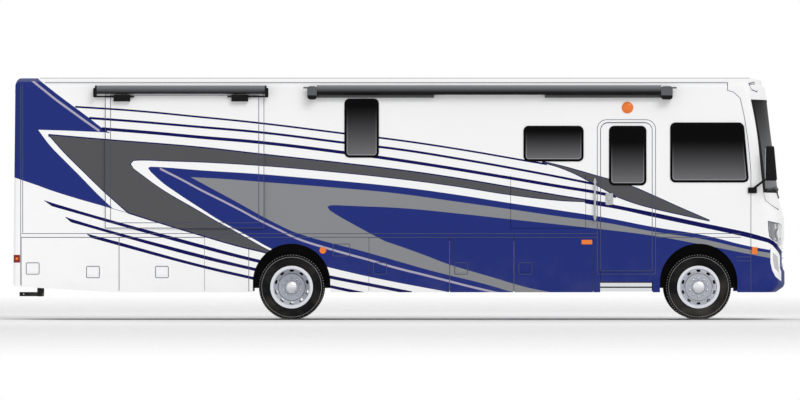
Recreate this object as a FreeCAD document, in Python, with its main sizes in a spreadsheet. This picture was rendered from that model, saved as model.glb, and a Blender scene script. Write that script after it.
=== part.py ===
import FreeCAD, Part
import math
import os
import Sketcher

# A front-engined motorhome with two slide-out rooms, in millimetres.
# +X points forward, +Y to the left, +Z up. The origin lies on the ground,
# half way along the coach and half way across it.

os.makedirs("parts", exist_ok=True)
doc = FreeCAD.newDocument("motorhome")
sheet = doc.addObject("Spreadsheet::Sheet", "Sizes")

SIZES = {
    # Overall
    "half_len": 5842.0,
    "half_wid": 1295.5,
    "roof_top": 3660.0,
    "roof_crown": 12300.0,
    "roof_corner": 80.0,
    "wall_top": 3500.0,
    "wall_thk": 50.0,
    "belt_z": 1247.0,
    "skirt_z": 417.0,
    "skirt_thk": 40.0,
    "deck_top": 1250.0,
    "deck_thk": 60.0,
    "deck_clear": 40.0,
    "door_gap": 6.0,
    "fit_gap": 0.5,
    "seat_gap": 0.3,
    "cut_over": 20.0,
    "groove_wide": 7.0,
    "groove_deep": 3.0,
    # Axles and wheels
    "front_axle_x": 4510.0,
    "wheelbase": 6147.0,
    "tyre_rad": 495.0,
    "tyre_half": 125.0,
    "tread_half": 106.0,
    "shoulder_in": 18.0,
    "shoulder_wide": 20.0,
    "bead_rad": 290.0,
    "bead_half": 100.0,
    "rim_lip": 322.0,
    "lip_thk": 10.0,
    "lip_gap": 3.0,
    "rim_wall": 12.0,
    "wheel_set": 145.0,
    "disc_foot": 75.0,
    "disc_slope": 15.0,
    "disc_crown": 205.0,
    "front_hub_y": 1225.0,
    "rear_hub_y": 1005.0,
    "hub_rad": 100.0,
    "hub_lap": 3.0,
    "hub_step": 7.0,
    "hub_band": 30.0,
    "hub_deep": 85.0,
    "hub_neck": 75.0,
    "hub_dome": 32.0,
    "hub_dome_rad": 60.0,
    "rear_hub_out": 95.0,
    "rear_hub_taper": 25.0,
    "drum_in": 100.0,
    "drum_out": 30.0,
    "drum_rad": 150.0,
    "hand_ring": 246.0,
    "hand_half": 31.0,
    "hand_rise": 17.0,
    "hand_round": 16.0,
    "spindle_rad": 38.0,
    "spindle_gap": 0.4,
    "kingpin_y": 985.0,
    "kingpin_rad": 42.0,
    "eye_half": 70.0,
    "yoke_gap": 0.5,
    "yoke_thk": 50.0,
    "yoke_reach": 8.0,
    "yoke_plate": 25.0,
    "arch_rad": 585.0,
    "arch_z": 566.0,
    "liner_gap": 8.0,
    "liner_thk": 10.0,
    "well_foot": 477.0,
    "well_notch": 90.0,
    "well_notch_top": 590.0,
    "front_well_y": 600.0,
    "rear_well_y": 690.0,
    # Caps
    "rear_cap_len": 122.0,
    "rear_cap_foot": 503.0,
    "rear_cap_round": 60.0,
    "rear_lean": 33.0,
    "tail_len": 106.0,
    "tail_foot": 864.0,
    "tail_top": 983.0,
    "tail_wrap": 190.0,
    "cap_thk": 45.0,
    "cap_len": 942.0,
    "roof_seam_back": 897.0,
    "seam_mid_back": 705.0,
    "seam_mid_z": 3346.0,
    "seam_high_back": 649.0,
    "seam_high_z": 3094.0,
    "seam_low_back": 544.0,
    "seam_low_z": 2000.0,
    "seam_gap": 1.0,
    "lamp_back": 282.0,
    "lamp_bend": 15.0,
    "lamp_nose": 60.0,
    "lamp_top": 1493.0,
    "lamp_bend_z": 1250.0,
    "lamp_foot": 1105.0,
    "lamp_nose_top": 1420.0,
    "lamp_in": 760.0,
    "grille_half": 580.0,
    "grille_foot": 800.0,
    "grille_top": 1085.0,
    "grille_deep": 300.0,
    "grille_bow": 5377.0,
    "bar_back": 14.0,
    "bar_deep": 50.0,
    "bar_tall": 30.0,
    "bar_mid_z": 927.0,
    "bar_pitch": 92.0,
    "bar_edge": 17.0,
    "post_back": 92.0,
    "post_thk": 30.0,
    "post_wide": 20.0,
    "glass_half": 1135.0,
    "glass_foot": 1955.0,
    "glass_top": 3292.0,
    "glass_round": 70.0,
    "glass_thk": 10.0,
    "glass_inset": 5.0,
    # Side windows, with their proud black rims
    "pane_thk": 8.0,
    "rim_proud": 9.0,
    "rim_lap": 20.0,
    "pane_round": 60.0,
    "cab_win_x": 4099.0,
    "cab_win_len": 1075.0,
    "cab_win_foot": 2095.0,
    "cab_win_top": 2961.0,
    "hall_win_x": -820.0,
    "hall_win_len": 482.0,
    "hall_win_foot": 2470.0,
    "hall_win_top": 3320.0,
    "sofa_win_x": 1884.0,
    "sofa_win_len": 869.0,
    "sofa_win_foot": 2412.0,
    "sofa_win_top": 2911.0,
    # Entry door and its steps
    "door_x": 3029.0,
    "door_len": 787.0,
    "door_foot": 726.0,
    "door_head": 2982.0,
    "door_round": 120.0,
    "door_thk": 45.0,
    "door_win_x": 3175.0,
    "door_win_len": 526.0,
    "door_win_foot": 2050.0,
    "door_win_top": 2911.0,
    "step_tread": 250.0,
    "step_thk": 20.0,
    "step_low": 690.0,
    "outer_step_top": 570.0,
    "outer_step_foot": 433.0,
    "outer_step_deep": 300.0,
    "tray_rise": 45.0,
    "tray_thk": 30.0,
    "ledge_grip": 20.0,
    # Storage bay doors
    "rear_skirt_back": 1311.0,
    "rear_skirt_fore": 1164.0,
    "bay_b_len": 1294.0,
    "bay_e_len": 1222.0,
    "bay_f_len": 971.0,
    "front_skirt_back": 1590.0,
    "bay_foot": 440.0,
    "bay_deep": 730.0,
    "bay_wall": 15.0,
    "latch_wide": 196.0,
    "latch_tall": 174.0,
    "latch_deep": 14.0,
    "latch_in": 70.0,
    "latch_far_in": 290.0,
    "latch_z": 776.0,
    "latch_drop": 53.0,
    "latch_round": 20.0,
    "rear_rise": 81.0,
    "flap_x": -1013.0,
    "flap_len": 256.0,
    "flap_foot": 965.0,
    "flap_tall": 181.0,
    "flap_round": 20.0,
    "left_bay_len": 1560.0,
    # Entertainment hatch in the right wall
    "hatch_x": 1667.0,
    "hatch_len": 1140.0,
    "hatch_foot": 1382.0,
    "hatch_top": 2183.0,
    "hatch_deep": 160.0,
    "hatch_lid_thk": 40.0,
    # Slide-out rooms
    "room_r_x": -4376.0,
    "room_r_len": 2250.0,
    "room_l_x": -700.0,
    "room_l_len": 3300.0,
    "room_foot": 1460.0,
    "room_top": 3400.0,
    "room_deep": 640.0,
    "room_gap": 12.0,
    "room_wall": 40.0,
    "flange_lap": 74.0,
    "flange_thk": 30.0,
    "frame_wide": 78.0,
    "room_win_x": 300.0,
    "room_win_len": 1100.0,
    "room_win_foot": 2300.0,
    "room_win_top": 3000.0,
    # Awnings
    "awning_x": -1255.0,
    "awning_len": 5195.0,
    "awning_rad": 73.0,
    "awning_z": 3471.0,
    "awning_off": 20.0,
    "roller_edge": 6.0,
    "awning_rail": 12.0,
    "awning_cap_rear": 144.0,
    "awning_cap_front": 174.0,
    "awning_cap_foot": 3327.0,
    "awning_cap_top": 3529.0,
    "awning_cap_round": 45.0,
    "awning_lug_z": 3505.0,
    "awning_lug_rad": 12.0,
    "awning_lug": 60.0,
    "topper_x": -4630.0,
    "topper_len": 2644.0,
    "topper_rad": 64.0,
    "topper_z": 3475.0,
    "topper_arm": 54.0,
    "topper_arm_foot": 3358.0,
    "topper_arm_top": 3502.0,
    "topper_arm_round": 20.0,
    "topper_rod_z": 3371.0,
    "topper_rod_rad": 12.0,
    "topper_rod_len": 619.0,
    "topper_foot_in": 306.0,
    "topper_foot_len": 252.0,
    "topper_foot_z": 3298.0,
    "topper_foot_tall": 101.0,
    "topper_foot_deep": 80.0,
    # Chassis
    "rail_y": 392.0,
    "rail_wide": 80.0,
    "rail_foot": 760.0,
    "rail_tall": 250.0,
    "rail_web": 10.0,
    "cross_foot": 900.0,
    "cross_tall": 90.0,
    "cross_len": 80.0,
    "frame_back": 5500.0,
    "frame_front": 5250.0,
    "hitch_z": 380.0,
    "hitch_socket": 50.8,
    "hitch_wall": 6.4,
    "hitch_bar": 80.0,
    "hitch_plate": 12.0,
    "hitch_reach": 60.0,
    "hitch_pin_in": 64.0,
    "hitch_pin_rad": 8.0,
    "beam_half": 40.0,
    "beam_short": 20.0,
    "axle_rad": 70.0,
    "bowl_half": 130.0,
    "bowl_rad": 200.0,
    "pinion_rad": 50.0,
    "pinion_len": 205.0,
    "spring_y": 432.0,
    "spring_wide": 80.0,
    "spring_thk": 60.0,
    "spring_half": 700.0,
    "spring_rise": 90.0,
    "spring_sink": 5.0,
    "hanger_in": 40.0,
    "hanger_half": 30.0,
    "engine_len": 800.0,
    "engine_half": 320.0,
    "engine_foot": 645.0,
    "engine_top": 1180.0,
    "engine_x": 4150.0,
    "shaft_rad": 48.0,
    "shaft_z": 651.0,
    "tank_x": -4300.0,
    "tank_len": 1000.0,
    "tank_half": 340.0,
    "tank_foot": 560.0,
    "pipe_rad": 42.0,
    "pipe_back": 2900.0,
    "strap_in": 10.0,
    "strap_wide": 30.0,
    "strap_half": 10.0,
    "pipe_y": 235.0,
    "pipe_z": 815.0,
    "muffler_rad": 80.0,
    "muffler_x": 900.0,
    "muffler_len": 1100.0,
    # Mirrors
    "mirror_back": 334.0,
    "mirror_len": 192.0,
    "mirror_in": 1370.0,
    "mirror_wide": 230.0,
    "mirror_foot": 2085.0,
    "mirror_top": 2615.0,
    "mirror_arm": 22.0,
    "mirror_arm_x": 5348.0,
    "mirror_arm_z": 1930.0,
    "mirror_arm_in": 60.0,
    "mirror_round": 45.0,
    # Side marker lamps
    "marker_fore": 472.0,
    "marker_z": 1050.0,
    "marker_rad": 50.0,
    "marker_thk": 10.0,
    "cap_marker_back": 528.0,
    "cap_marker_len": 83.0,
    "cap_marker_z": 992.0,
    "cap_marker_tall": 106.0,
    # Cab
    "seat_x": 3950.0,
    "seat_y": 560.0,
    "seat_half": 260.0,
    "seat_top": 1700.0,
    "seat_len": 520.0,
    "seat_thk": 150.0,
    "back_thk": 150.0,
    "back_top": 2450.0,
    "post_in": 110.0,
    "post_x": 100.0,
    "post_len": 300.0,
    "dash_back": 862.0,
    "dash_len": 285.0,
    "dash_top": 1850.0,
    "dash_half": 1150.0,
    "dash_brow": 60.0,
    "dash_face": 260.0,
    "dash_knee": 110.0,
    "dash_skirt": 380.0,
    "helm_back": 1082.0,
    "helm_z": 1930.0,
    "helm_rad": 215.0,
    "helm_grip": 16.0,
    "helm_spoke": 11.0,
    "helm_boss": 48.0,
    "helm_boss_len": 60.0,
    "column_rad": 28.0,
    "column_len": 420.0,
}


class Length:
    """A number together with the sheet expression that gives it."""

    def __init__(self, value, text):
        self.value = value
        self.text = text

    def _join(self, other, sign, value):
        return Length(value, f"({self.text} {sign} {as_length(other).text})")

    def __add__(self, other):
        return self._join(other, "+", self.value + as_length(other).value)

    def __sub__(self, other):
        return self._join(other, "-", self.value - as_length(other).value)

    def __mul__(self, other):
        return self._join(other, "*", self.value * as_length(other).value)

    def __truediv__(self, other):
        return self._join(other, "/", self.value / as_length(other).value)

    def __radd__(self, other):
        return as_length(other) + self

    def __rsub__(self, other):
        return as_length(other) - self

    def __neg__(self):
        return Length(-self.value, f"(-1 * {self.text})")


def as_length(number):
    if isinstance(number, Length):
        return number
    return Length(float(number), f"({float(number)!r})")


def root(length):
    return Length(math.sqrt(length.value), f"sqrt({length.text})")


class Names:
    """The sheet's sizes by name."""


s = Names()
for row, (word, amount) in enumerate(SIZES.items(), 1):
    sheet.set(f"A{row}", word)
    sheet.set(f"B{row}", str(amount))
    sheet.setAlias(f"B{row}", word)
    setattr(s, word, Length(amount, "Sizes." + word))
doc.recompute()

ZERO = as_length(0.0)
V = FreeCAD.Vector
nodes = {}


def bind(thing, prop, length):
    thing.setExpression(prop, as_length(length).text)


# Sketches: a loop is a list of corners (u, v), or (u, v, radius, turn) where the
# edge to the next corner is an arc, turning left (+1) or right (-1).

def arc_between(first, last, radius, turn):
    span = last - first
    lift = math.sqrt(max(radius ** 2 - (span.Length / 2) ** 2, 0.0))
    middle = (first + last) / 2 + V(-span.y, span.x, 0).normalize() * lift * turn
    circle = Part.Circle(middle, V(0, 0, 1), radius)
    ends = (first, last) if turn > 0 else (last, first)
    angles = [math.atan2(end.y - middle.y, end.x - middle.x) for end in ends]
    if angles[1] < angles[0]:
        angles[1] += 2 * math.pi
    return Part.ArcOfCircle(circle, angles[0], angles[1])


def draw_loop(sketch, loop):
    corners = [V(as_length(c[0]).value, as_length(c[1]).value, 0) for c in loop]
    base = sketch.GeometryCount
    count = len(loop)
    starts = []
    ends = []
    shapes = []
    for i, corner in enumerate(loop):
        here = corners[i]
        there = corners[(i + 1) % count]
        if len(corner) == 4:
            shapes.append(arc_between(here, there, as_length(corner[2]).value, corner[3]))
            starts.append(1 if corner[3] > 0 else 2)
        else:
            shapes.append(Part.LineSegment(here, there))
            starts.append(1)
        ends.append(3 - starts[-1])
    sketch.addGeometry(shapes, False)
    rules = []
    bound = []
    for i, corner in enumerate(loop):
        before = (i - 1) % count
        rules.append(Sketcher.Constraint("Coincident", base + before, ends[before], base + i, starts[i]))
        for kind, length in (("DistanceX", corner[0]), ("DistanceY", corner[1])):
            length = as_length(length)
            bound.append((len(rules), length))
            rules.append(Sketcher.Constraint(kind, -1, 1, base + i, starts[i], length.value))
        if len(corner) == 4:
            bound.append((len(rules), as_length(corner[2])))
            rules.append(Sketcher.Constraint("Radius", base + i, as_length(corner[2]).value))
    first = sketch.ConstraintCount
    sketch.addConstraint(rules)
    for place, length in bound:
        bind(sketch, f"Constraints[{first + place}]", length)


def draw_circle(sketch, u, v, radius):
    u, v, radius = as_length(u), as_length(v), as_length(radius)
    index = sketch.GeometryCount
    sketch.addGeometry(Part.Circle(V(u.value, v.value, 0), V(0, 0, 1), radius.value), False)
    first = sketch.ConstraintCount
    sketch.addConstraint([
        Sketcher.Constraint("DistanceX", -1, 1, index, 3, u.value),
        Sketcher.Constraint("DistanceY", -1, 1, index, 3, v.value),
        Sketcher.Constraint("Radius", index, radius.value),
    ])
    for place, length in enumerate((u, v, radius)):
        bind(sketch, f"Constraints[{first + place}]", length)


def sketch_on(body, role, offset, loops, circles=()):
    plane = next(f for f in body.Origin.OriginFeatures if f.Role == role)
    sketch = body.newObject("Sketcher::SketchObject", body.Label + "_outline")
    sketch.AttachmentSupport = [(plane, "")]
    sketch.MapMode = "FlatFace"
    for axis, length in zip("xyz", offset):
        bind(sketch, f"AttachmentOffset.Base.{axis}", length)
    for loop in loops:
        draw_loop(sketch, loop)
    for circle in circles:
        draw_circle(sketch, *circle)
    return sketch


def new_body(label):
    body = doc.addObject("PartDesign::Body", label)
    body.Label = label
    return body


def pad(body, role, away, depth, loops, circles=()):
    sketch = sketch_on(body, role, (ZERO, ZERO, away), loops, circles)
    feature = body.newObject("PartDesign::Pad", body.Label + "_pad")
    feature.Profile = sketch
    bind(feature, "Length", depth)
    doc.recompute()
    return feature


def pocket(body, role, away, depth, loops, circles=()):
    """Cut from `away` along the plane's normal by `depth`."""
    before = body.Shape.Volume
    sketch = sketch_on(body, role, (ZERO, ZERO, away), loops, circles)
    feature = body.newObject("PartDesign::Pocket", body.Label + "_pocket")
    feature.Profile = sketch
    feature.Reversed = True
    bind(feature, "Length", depth)
    doc.recompute()
    if not body.Shape.Volume < before - 1.0:
        raise RuntimeError(body.Label + ": a pocket cut nothing")
    return feature


def side_plate(label, side, face, depth, loops, circles=()):
    """A plate standing on edge along X: `face` is its outer |y|, side +1 left, -1 right."""
    body = new_body(label)
    away = -face if side > 0 else face - depth
    pad(body, "XZ_Plane", away, depth, loops, circles)
    return body


def block(name, x0, x1, y0, y1, z0, z1):
    box = doc.addObject("Part::Box", name)
    for axis, low, high, prop in (("x", x0, x1, "Length"), ("y", y0, y1, "Width"), ("z", z0, z1, "Height")):
        bind(box, f"Placement.Base.{axis}", low)
        bind(box, prop, as_length(high) - low)
    return box


TURNS = {"x": FreeCAD.Rotation(V(0, 1, 0), 90), "y": FreeCAD.Rotation(V(1, 0, 0), -90), "z": FreeCAD.Rotation()}


def rod(name, axis, start, length, radius):
    """A cylinder from `start` (x, y, z) along an axis."""
    cylinder = doc.addObject("Part::Cylinder", name)
    cylinder.Placement = FreeCAD.Placement(V(0, 0, 0), TURNS[axis])
    for word, place in zip("xyz", start):
        bind(cylinder, f"Placement.Base.{word}", place)
    bind(cylinder, "Height", length)
    bind(cylinder, "Radius", radius)
    return cylinder


def leaned(kind, name, start, lean):
    """A solid of revolution whose own axis leans from upright by `lean` degrees towards +X."""
    solid = doc.addObject(kind, name)
    solid.Placement = FreeCAD.Placement(V(0, 0, 0), FreeCAD.Rotation(V(0, 1, 0), lean))
    for word, place in zip("xyz", start):
        bind(solid, f"Placement.Base.{word}", place)
    return solid


def leaned_rod(name, start, lean, length, radius):
    cylinder = leaned("Part::Cylinder", name, start, lean)
    bind(cylinder, "Height", length)
    bind(cylinder, "Radius", radius)
    return cylinder


def fuse(name, pieces):
    joined = doc.addObject("Part::MultiFuse", name)
    joined.Shapes = pieces
    joined.Refine = True
    return joined


def cut(name, base, tool):
    result = doc.addObject("Part::Cut", name)
    result.Base = base
    result.Tool = tool
    return result


def common(name, base, tool):
    result = doc.addObject("Part::MultiCommon", name)
    result.Shapes = [base, tool]
    return result


def gather(name, pieces):
    group = doc.addObject("Part::Compound", name)
    group.Links = pieces
    return group


def node(thing, label=None):
    """Mark a finished sub-part, whose label names its file."""
    if label is not None:
        thing.Label = label
    nodes[thing.Label] = thing
    return thing


def rounded(u0, v0, u1, v1, radius):
    """A rectangle with round corners."""
    u0, v0, u1, v1 = (as_length(x) for x in (u0, v0, u1, v1))
    return [
        (u0 + radius, v0), (u1 - radius, v0, radius, 1),
        (u1, v0 + radius), (u1, v1 - radius, radius, 1),
        (u1 - radius, v1), (u0 + radius, v1, radius, 1),
        (u0, v1 - radius), (u0, v0 + radius, radius, 1),
    ]


def rectangle(u0, v0, u1, v1):
    return [(u0, v0), (u1, v0), (u1, v1), (u0, v1)]


def across(side, near, far):
    """Low and high y of what lies from `near` to `far` off the middle, on one side."""
    return (near, far) if side > 0 else (-far, -near)


def groove(body, side, face, outer, inner):
    """A shallow groove round a panel, between two loops on a side plate's face."""
    away = -face if side > 0 else face - s.groove_deep
    return pocket(body, "XZ_Plane", away, s.groove_deep, [outer, inner])


# Places that several pieces share
roof_seam_x = s.half_len - s.roof_seam_back
seam_mid_x = s.half_len - s.seam_mid_back
seam_high_x = s.half_len - s.seam_high_back
seam_low_x = s.half_len - s.seam_low_back
mirror_x = s.half_len - s.mirror_back
cap_marker_x = s.half_len - s.cap_marker_back
dash_x = s.half_len - s.dash_back
helm_x = s.half_len - s.helm_back
rear_axle_x = s.front_axle_x - s.wheelbase
axle_z = s.tyre_rad
wall_rear = s.rear_cap_len - s.half_len
deck_foot = s.deck_top - s.deck_thk
wall_in = s.half_wid - s.wall_thk
skirt_in = s.half_wid - s.skirt_thk
seam_b = rear_axle_x - s.rear_skirt_back
seam_ab = seam_b - s.bay_b_len
seam_e = rear_axle_x + s.rear_skirt_fore
seam_ef = seam_e + s.bay_e_len
seam_fg = seam_ef + s.bay_f_len
seam_g = s.front_axle_x - s.front_skirt_back
left_mid = seam_e + s.left_bay_len


# Coach cross-section: side walls, round corners and the crown of the roof

def coach_section(foot, inset=ZERO):
    """Crown and corners are tangent arcs, drawn in by `inset`."""
    half = s.half_wid - inset
    corner = s.roof_corner - inset
    corner_y = s.half_wid - s.roof_corner
    centre_z = s.roof_top - s.roof_crown
    apart = s.roof_crown - s.roof_corner
    lift = root(apart * apart - corner_y * corner_y)
    side_z = centre_z + lift
    crown = s.roof_crown - inset
    meet_y = corner_y * crown / apart
    meet_z = centre_z + lift * crown / apart
    return [
        (-half, foot), (half, foot), (half, side_z, corner, 1),
        (meet_y, meet_z, crown, 1), (ZERO, s.roof_top - inset, crown, 1),
        (-meet_y, meet_z, corner, 1), (-half, side_z),
    ]


def arch_up(x, foot, way):
    """Corners of a wheel arch, walked towards +X (way +1) or -X (way -1)."""
    first = x - s.arch_rad * way
    last = x + s.arch_rad * way
    return [
        (first, foot), (first, s.arch_z, s.arch_rad, -way),
        (x, s.arch_z + s.arch_rad, s.arch_rad, -way), (last, s.arch_z), (last, foot),
    ]


def seam_line(gap):
    """The joint between side wall and front cap, from the foot up, moved forward by `gap`."""
    return [
        (seam_low_x + gap, s.skirt_z), (seam_low_x + gap, s.seam_low_z),
        (seam_high_x + gap, s.seam_high_z), (seam_mid_x + gap, s.seam_mid_z),
        (roof_seam_x + gap, s.wall_top),
    ]


# Side windows: (x, length, foot, top) of each hole

CAB_WINDOW = (s.cab_win_x, s.cab_win_len, s.cab_win_foot, s.cab_win_top)
HALL_WINDOW = (s.hall_win_x, s.hall_win_len, s.hall_win_foot, s.hall_win_top)
SOFA_WINDOW = (s.sofa_win_x, s.sofa_win_len, s.sofa_win_foot, s.sofa_win_top)
DOOR_WINDOW = (s.door_win_x, s.door_win_len, s.door_win_foot, s.door_win_top)
ROOM_WINDOW = (s.room_win_x, s.room_win_len, s.room_win_foot, s.room_win_top)


def window_loop(window, grow):
    x, length, foot, top = window
    return rounded(x - grow, foot - grow, x + length + grow, top + grow, s.pane_round + grow)


def window_pane(name, side, face, window):
    """A pane seated in its hole, with a rim lapped over the outside."""
    pane = side_plate(name, side, face, s.pane_thk, [window_loop(window, -s.fit_gap)])
    away = -(face + s.rim_proud) if side > 0 else face
    pad(pane, "XZ_Plane", away, s.rim_proud, [window_loop(window, s.rim_lap)])
    return pane


# Side walls

def door_notch(foot):
    """Corners of the entry doorway where it breaks a panel's lower edge."""
    low = s.door_x - s.door_gap
    high = s.door_x + s.door_len + s.seat_gap
    head = s.door_head + s.door_gap
    bend = s.door_round + s.door_gap
    return [
        (low, foot), (low, head - bend, bend, -1), (low + bend, head),
        (high - bend, head, bend, -1), (high, head - bend), (high, foot),
    ]


def wall_outline(side):
    """The wall panel above the belt line."""
    corners = [(wall_rear, s.belt_z)]
    if side < 0:
        corners += door_notch(s.belt_z)
    corners += [(seam_low_x, s.belt_z)] + seam_line(ZERO)[1:]
    corners += [(wall_rear, s.wall_top)]
    return corners


def room_hole(x, length):
    return rectangle(x, s.room_foot, x + length, s.room_top)


right_wall = side_plate("right_wall", -1, s.half_wid, s.wall_thk, [
    wall_outline(-1),
    window_loop(CAB_WINDOW, ZERO),
    window_loop(HALL_WINDOW, ZERO),
    window_loop(SOFA_WINDOW, ZERO),
    rectangle(s.hatch_x, s.hatch_foot, s.hatch_x + s.hatch_len, s.hatch_top),
    room_hole(s.room_r_x, s.room_r_len),
])
node(right_wall)

left_wall = side_plate("left_wall", 1, s.half_wid, s.wall_thk, [
    wall_outline(1),
    window_loop(CAB_WINDOW, ZERO),
    room_hole(s.room_l_x, s.room_l_len),
])
node(left_wall)

node(gather("side_glass", [
    window_pane("cab_pane_right", -1, s.half_wid, CAB_WINDOW),
    window_pane("hall_pane_right", -1, s.half_wid, HALL_WINDOW),
    window_pane("sofa_pane_right", -1, s.half_wid, SOFA_WINDOW),
    window_pane("cab_pane_left", 1, s.half_wid, CAB_WINDOW),
]))

# Fixed skirts below the belt line, round the wheels. The right rear one has a small flap, outlined by
# a groove, and the entry doorway parts the right front one.

skirt_loop = [(seam_b, s.skirt_z)] + arch_up(rear_axle_x, s.skirt_z, 1) + [
    (seam_e, s.skirt_z), (seam_e, s.belt_z), (seam_b, s.belt_z)]
right_skirt = side_plate("right_skirt", -1, s.half_wid, s.skirt_thk, [skirt_loop])
flap_end = s.flap_x + s.flap_len
flap_top = s.flap_foot + s.flap_tall
groove(right_skirt, -1, s.half_wid,
       rounded(s.flap_x, s.flap_foot, flap_end, flap_top, s.flap_round),
       rounded(s.flap_x + s.groove_wide, s.flap_foot + s.groove_wide,
               flap_end - s.groove_wide, flap_top - s.groove_wide, s.flap_round - s.groove_wide))
front_arch = arch_up(s.front_axle_x, s.skirt_z, 1) + [(seam_low_x, s.skirt_z), (seam_low_x, s.belt_z)]
door_fore = s.door_x + s.door_len + s.seat_gap
node(gather("arch_skirts", [
    right_skirt,
    side_plate("left_skirt", 1, s.half_wid, s.skirt_thk, [skirt_loop]),
    side_plate("front_skirt_left", 1, s.half_wid, s.wall_thk, [
        [(seam_g, s.belt_z), (seam_g, s.skirt_z)] + front_arch]),
    side_plate("front_skirt_right", -1, s.half_wid, s.wall_thk, [
        [(door_fore, s.belt_z), (door_fore, s.skirt_z)] + front_arch]),
    side_plate("door_post_skirt", -1, s.half_wid, s.wall_thk, [
        rectangle(seam_g, s.skirt_z, s.door_x - s.door_gap, s.belt_z)]),
]))

# Roof and rear cap

roof = new_body("roof_panel")
pad(roof, "YZ_Plane", wall_rear, roof_seam_x - wall_rear, [coach_section(s.wall_top)])
node(roof)

rear_shell = new_body("rear_shell")
pad(rear_shell, "YZ_Plane", -s.half_len, s.rear_cap_len, [coach_section(s.rear_cap_foot)])
leaned_back = pocket(rear_shell, "XZ_Plane", -s.half_len, s.half_len * 2, [[
    (-s.half_len, s.rear_cap_foot), (s.rear_lean - s.half_len, s.roof_top),
    (s.rear_lean - s.half_len, s.roof_top + s.cut_over),
    (-s.half_len - s.cut_over, s.roof_top + s.cut_over), (-s.half_len - s.cut_over, s.rear_cap_foot)]])
rear_edges = [
    f"Edge{i}" for i, edge in enumerate(rear_shell.Shape.Edges, 1)
    if edge.BoundBox.XMax < s.rear_cap_len.value * 0.5 - s.half_len.value
]
soft_edge = rear_shell.newObject("PartDesign::Fillet", "rear_cap_round")
soft_edge.Base = (leaned_back, rear_edges)
bind(soft_edge, "Radius", s.rear_cap_round)
doc.recompute()
rear_in = s.half_wid - s.cap_thk
pocket(rear_shell, "XZ_Plane", -rear_in, rear_in * 2, [[
    (s.cap_thk - s.half_len, s.rear_cap_foot + s.cap_thk), (wall_rear, s.rear_cap_foot + s.cap_thk),
    (wall_rear, s.wall_top), (s.cap_thk + s.rear_lean - s.half_len, s.wall_top)]])

# Tail lamps wrap the rear corners


def tail_block(name, side, shrink):
    low, high = across(side, s.half_wid - s.tail_wrap + shrink, s.half_wid + s.cut_over)
    return block(name, -s.half_len - s.cut_over, s.tail_len - s.half_len - shrink, low, high,
                 s.tail_foot + shrink, s.tail_top - shrink)


node(cut("rear_cap", rear_shell, fuse("tail_holes", [
    tail_block("tail_hole_left", 1, ZERO), tail_block("tail_hole_right", -1, ZERO)])))
node(common("tail_lamps", rear_shell, gather("tail_fill", [
    tail_block("tail_left", 1, s.fit_gap), tail_block("tail_right", -1, s.fit_gap)])))

# Front cap: plan sections at heights. Each is (z, side_back, corner_long, corner_in, nose_back):
# straight sides to side_back behind the nose, a round corner, and a bowed front to nose_back.

GLASS_LEVELS = [
    (1919.0, 453.0, 100.0, 90.0, 96.0),
    (2264.0, 470.0, 100.0, 90.0, 137.0),
    (2868.0, 550.0, 100.0, 90.0, 214.0),
    (3321.0, 630.0, 100.0, 90.0, 266.0),
]
BROW_LEVELS = [
    (3321.0, 630.0, 100.0, 90.0, 266.0),
    (3358.0, 630.0, 100.0, 90.0, 273.0),
    (3514.0, 652.0, 100.0, 90.0, 305.0),
    (3560.0, 682.0, 100.0, 90.0, 359.0),
    (3624.0, 692.0, 100.0, 90.0, 359.0),
    (3665.0, 782.0, 100.0, 90.0, 502.0),
]
MASK_LEVELS = [
    (1919.0, 453.0, 100.0, 90.0, 96.0),
    (1811.0, 432.0, 115.0, 100.0, 90.0),
    (1735.0, 392.0, 150.0, 120.0, 67.0),
    (1650.0, 352.0, 210.0, 160.0, 44.0),
    (1539.0, 347.0, 220.0, 170.0, 9.0),
    (1244.0, 347.0, 220.0, 170.0, 4.0),
    (1101.0, 352.0, 210.0, 160.0, 30.0),
    (772.0, 352.0, 210.0, 160.0, 26.0),
]
BUMPER_LEVELS = [
    (771.7, 352.0, 210.0, 160.0, 26.0),
    (723.0, 347.0, 220.0, 170.0, 1.0),
    (538.0, 347.0, 220.0, 170.0, 0.0),
    (490.0, 362.0, 210.0, 160.0, 22.0),
    (417.0, 422.0, 190.0, 150.0, 128.0),
]

def plan_loop(level, inset):
    """A cap's plan outline at one level, drawn in by `inset`."""
    side_back, corner_long, corner_in, nose_back = level[1:]
    half = s.half_wid - inset
    reach = s.half_len - side_back
    corner_x = reach + corner_long - inset
    corner_y = half - corner_in
    bow = as_length(side_back - nose_back - corner_long)
    corner_rise = as_length(corner_long) - inset
    corner_rad = (corner_rise * corner_rise + as_length(corner_in) * corner_in) / (corner_in * 2.0)
    front_rad = (corner_y * corner_y + bow * bow) / (bow * 2)
    back = s.half_len - s.cap_len
    return [
        (back, -half), (reach, -half, corner_rad, 1), (corner_x, -corner_y, front_rad, 1),
        (corner_x, corner_y, corner_rad, 1), (reach, half), (back, half),
    ]


def cap_band(body, levels, inset, ruled):
    sketches = [
        sketch_on(body, "XY_Plane", (ZERO, ZERO, as_length(level[0])), [plan_loop(level, inset)])
        for level in levels
    ]
    loft = body.newObject("PartDesign::AdditiveLoft", body.Label + "_loft")
    loft.Profile = sketches[0]
    loft.Sections = sketches[1:]
    loft.Ruled = ruled
    doc.recompute()
    return loft


def cap_form(name, inset):
    form = new_body(name)
    cap_band(form, MASK_LEVELS, inset, True)
    cap_band(form, GLASS_LEVELS, inset, False)
    cap_band(form, BROW_LEVELS, inset, True)
    return form


cap_outer = cap_form("cap_outer", ZERO)
cap_inner = cap_form("cap_inner", s.cap_thk)
crown_form = new_body("crown_form")
pad(crown_form, "YZ_Plane", roof_seam_x + s.seam_gap, s.half_len, [coach_section(s.skirt_z)])
crown_inner = new_body("crown_inner")
pad(crown_inner, "YZ_Plane", ZERO, s.half_len * 2, [coach_section(ZERO, s.cap_thk)])

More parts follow.
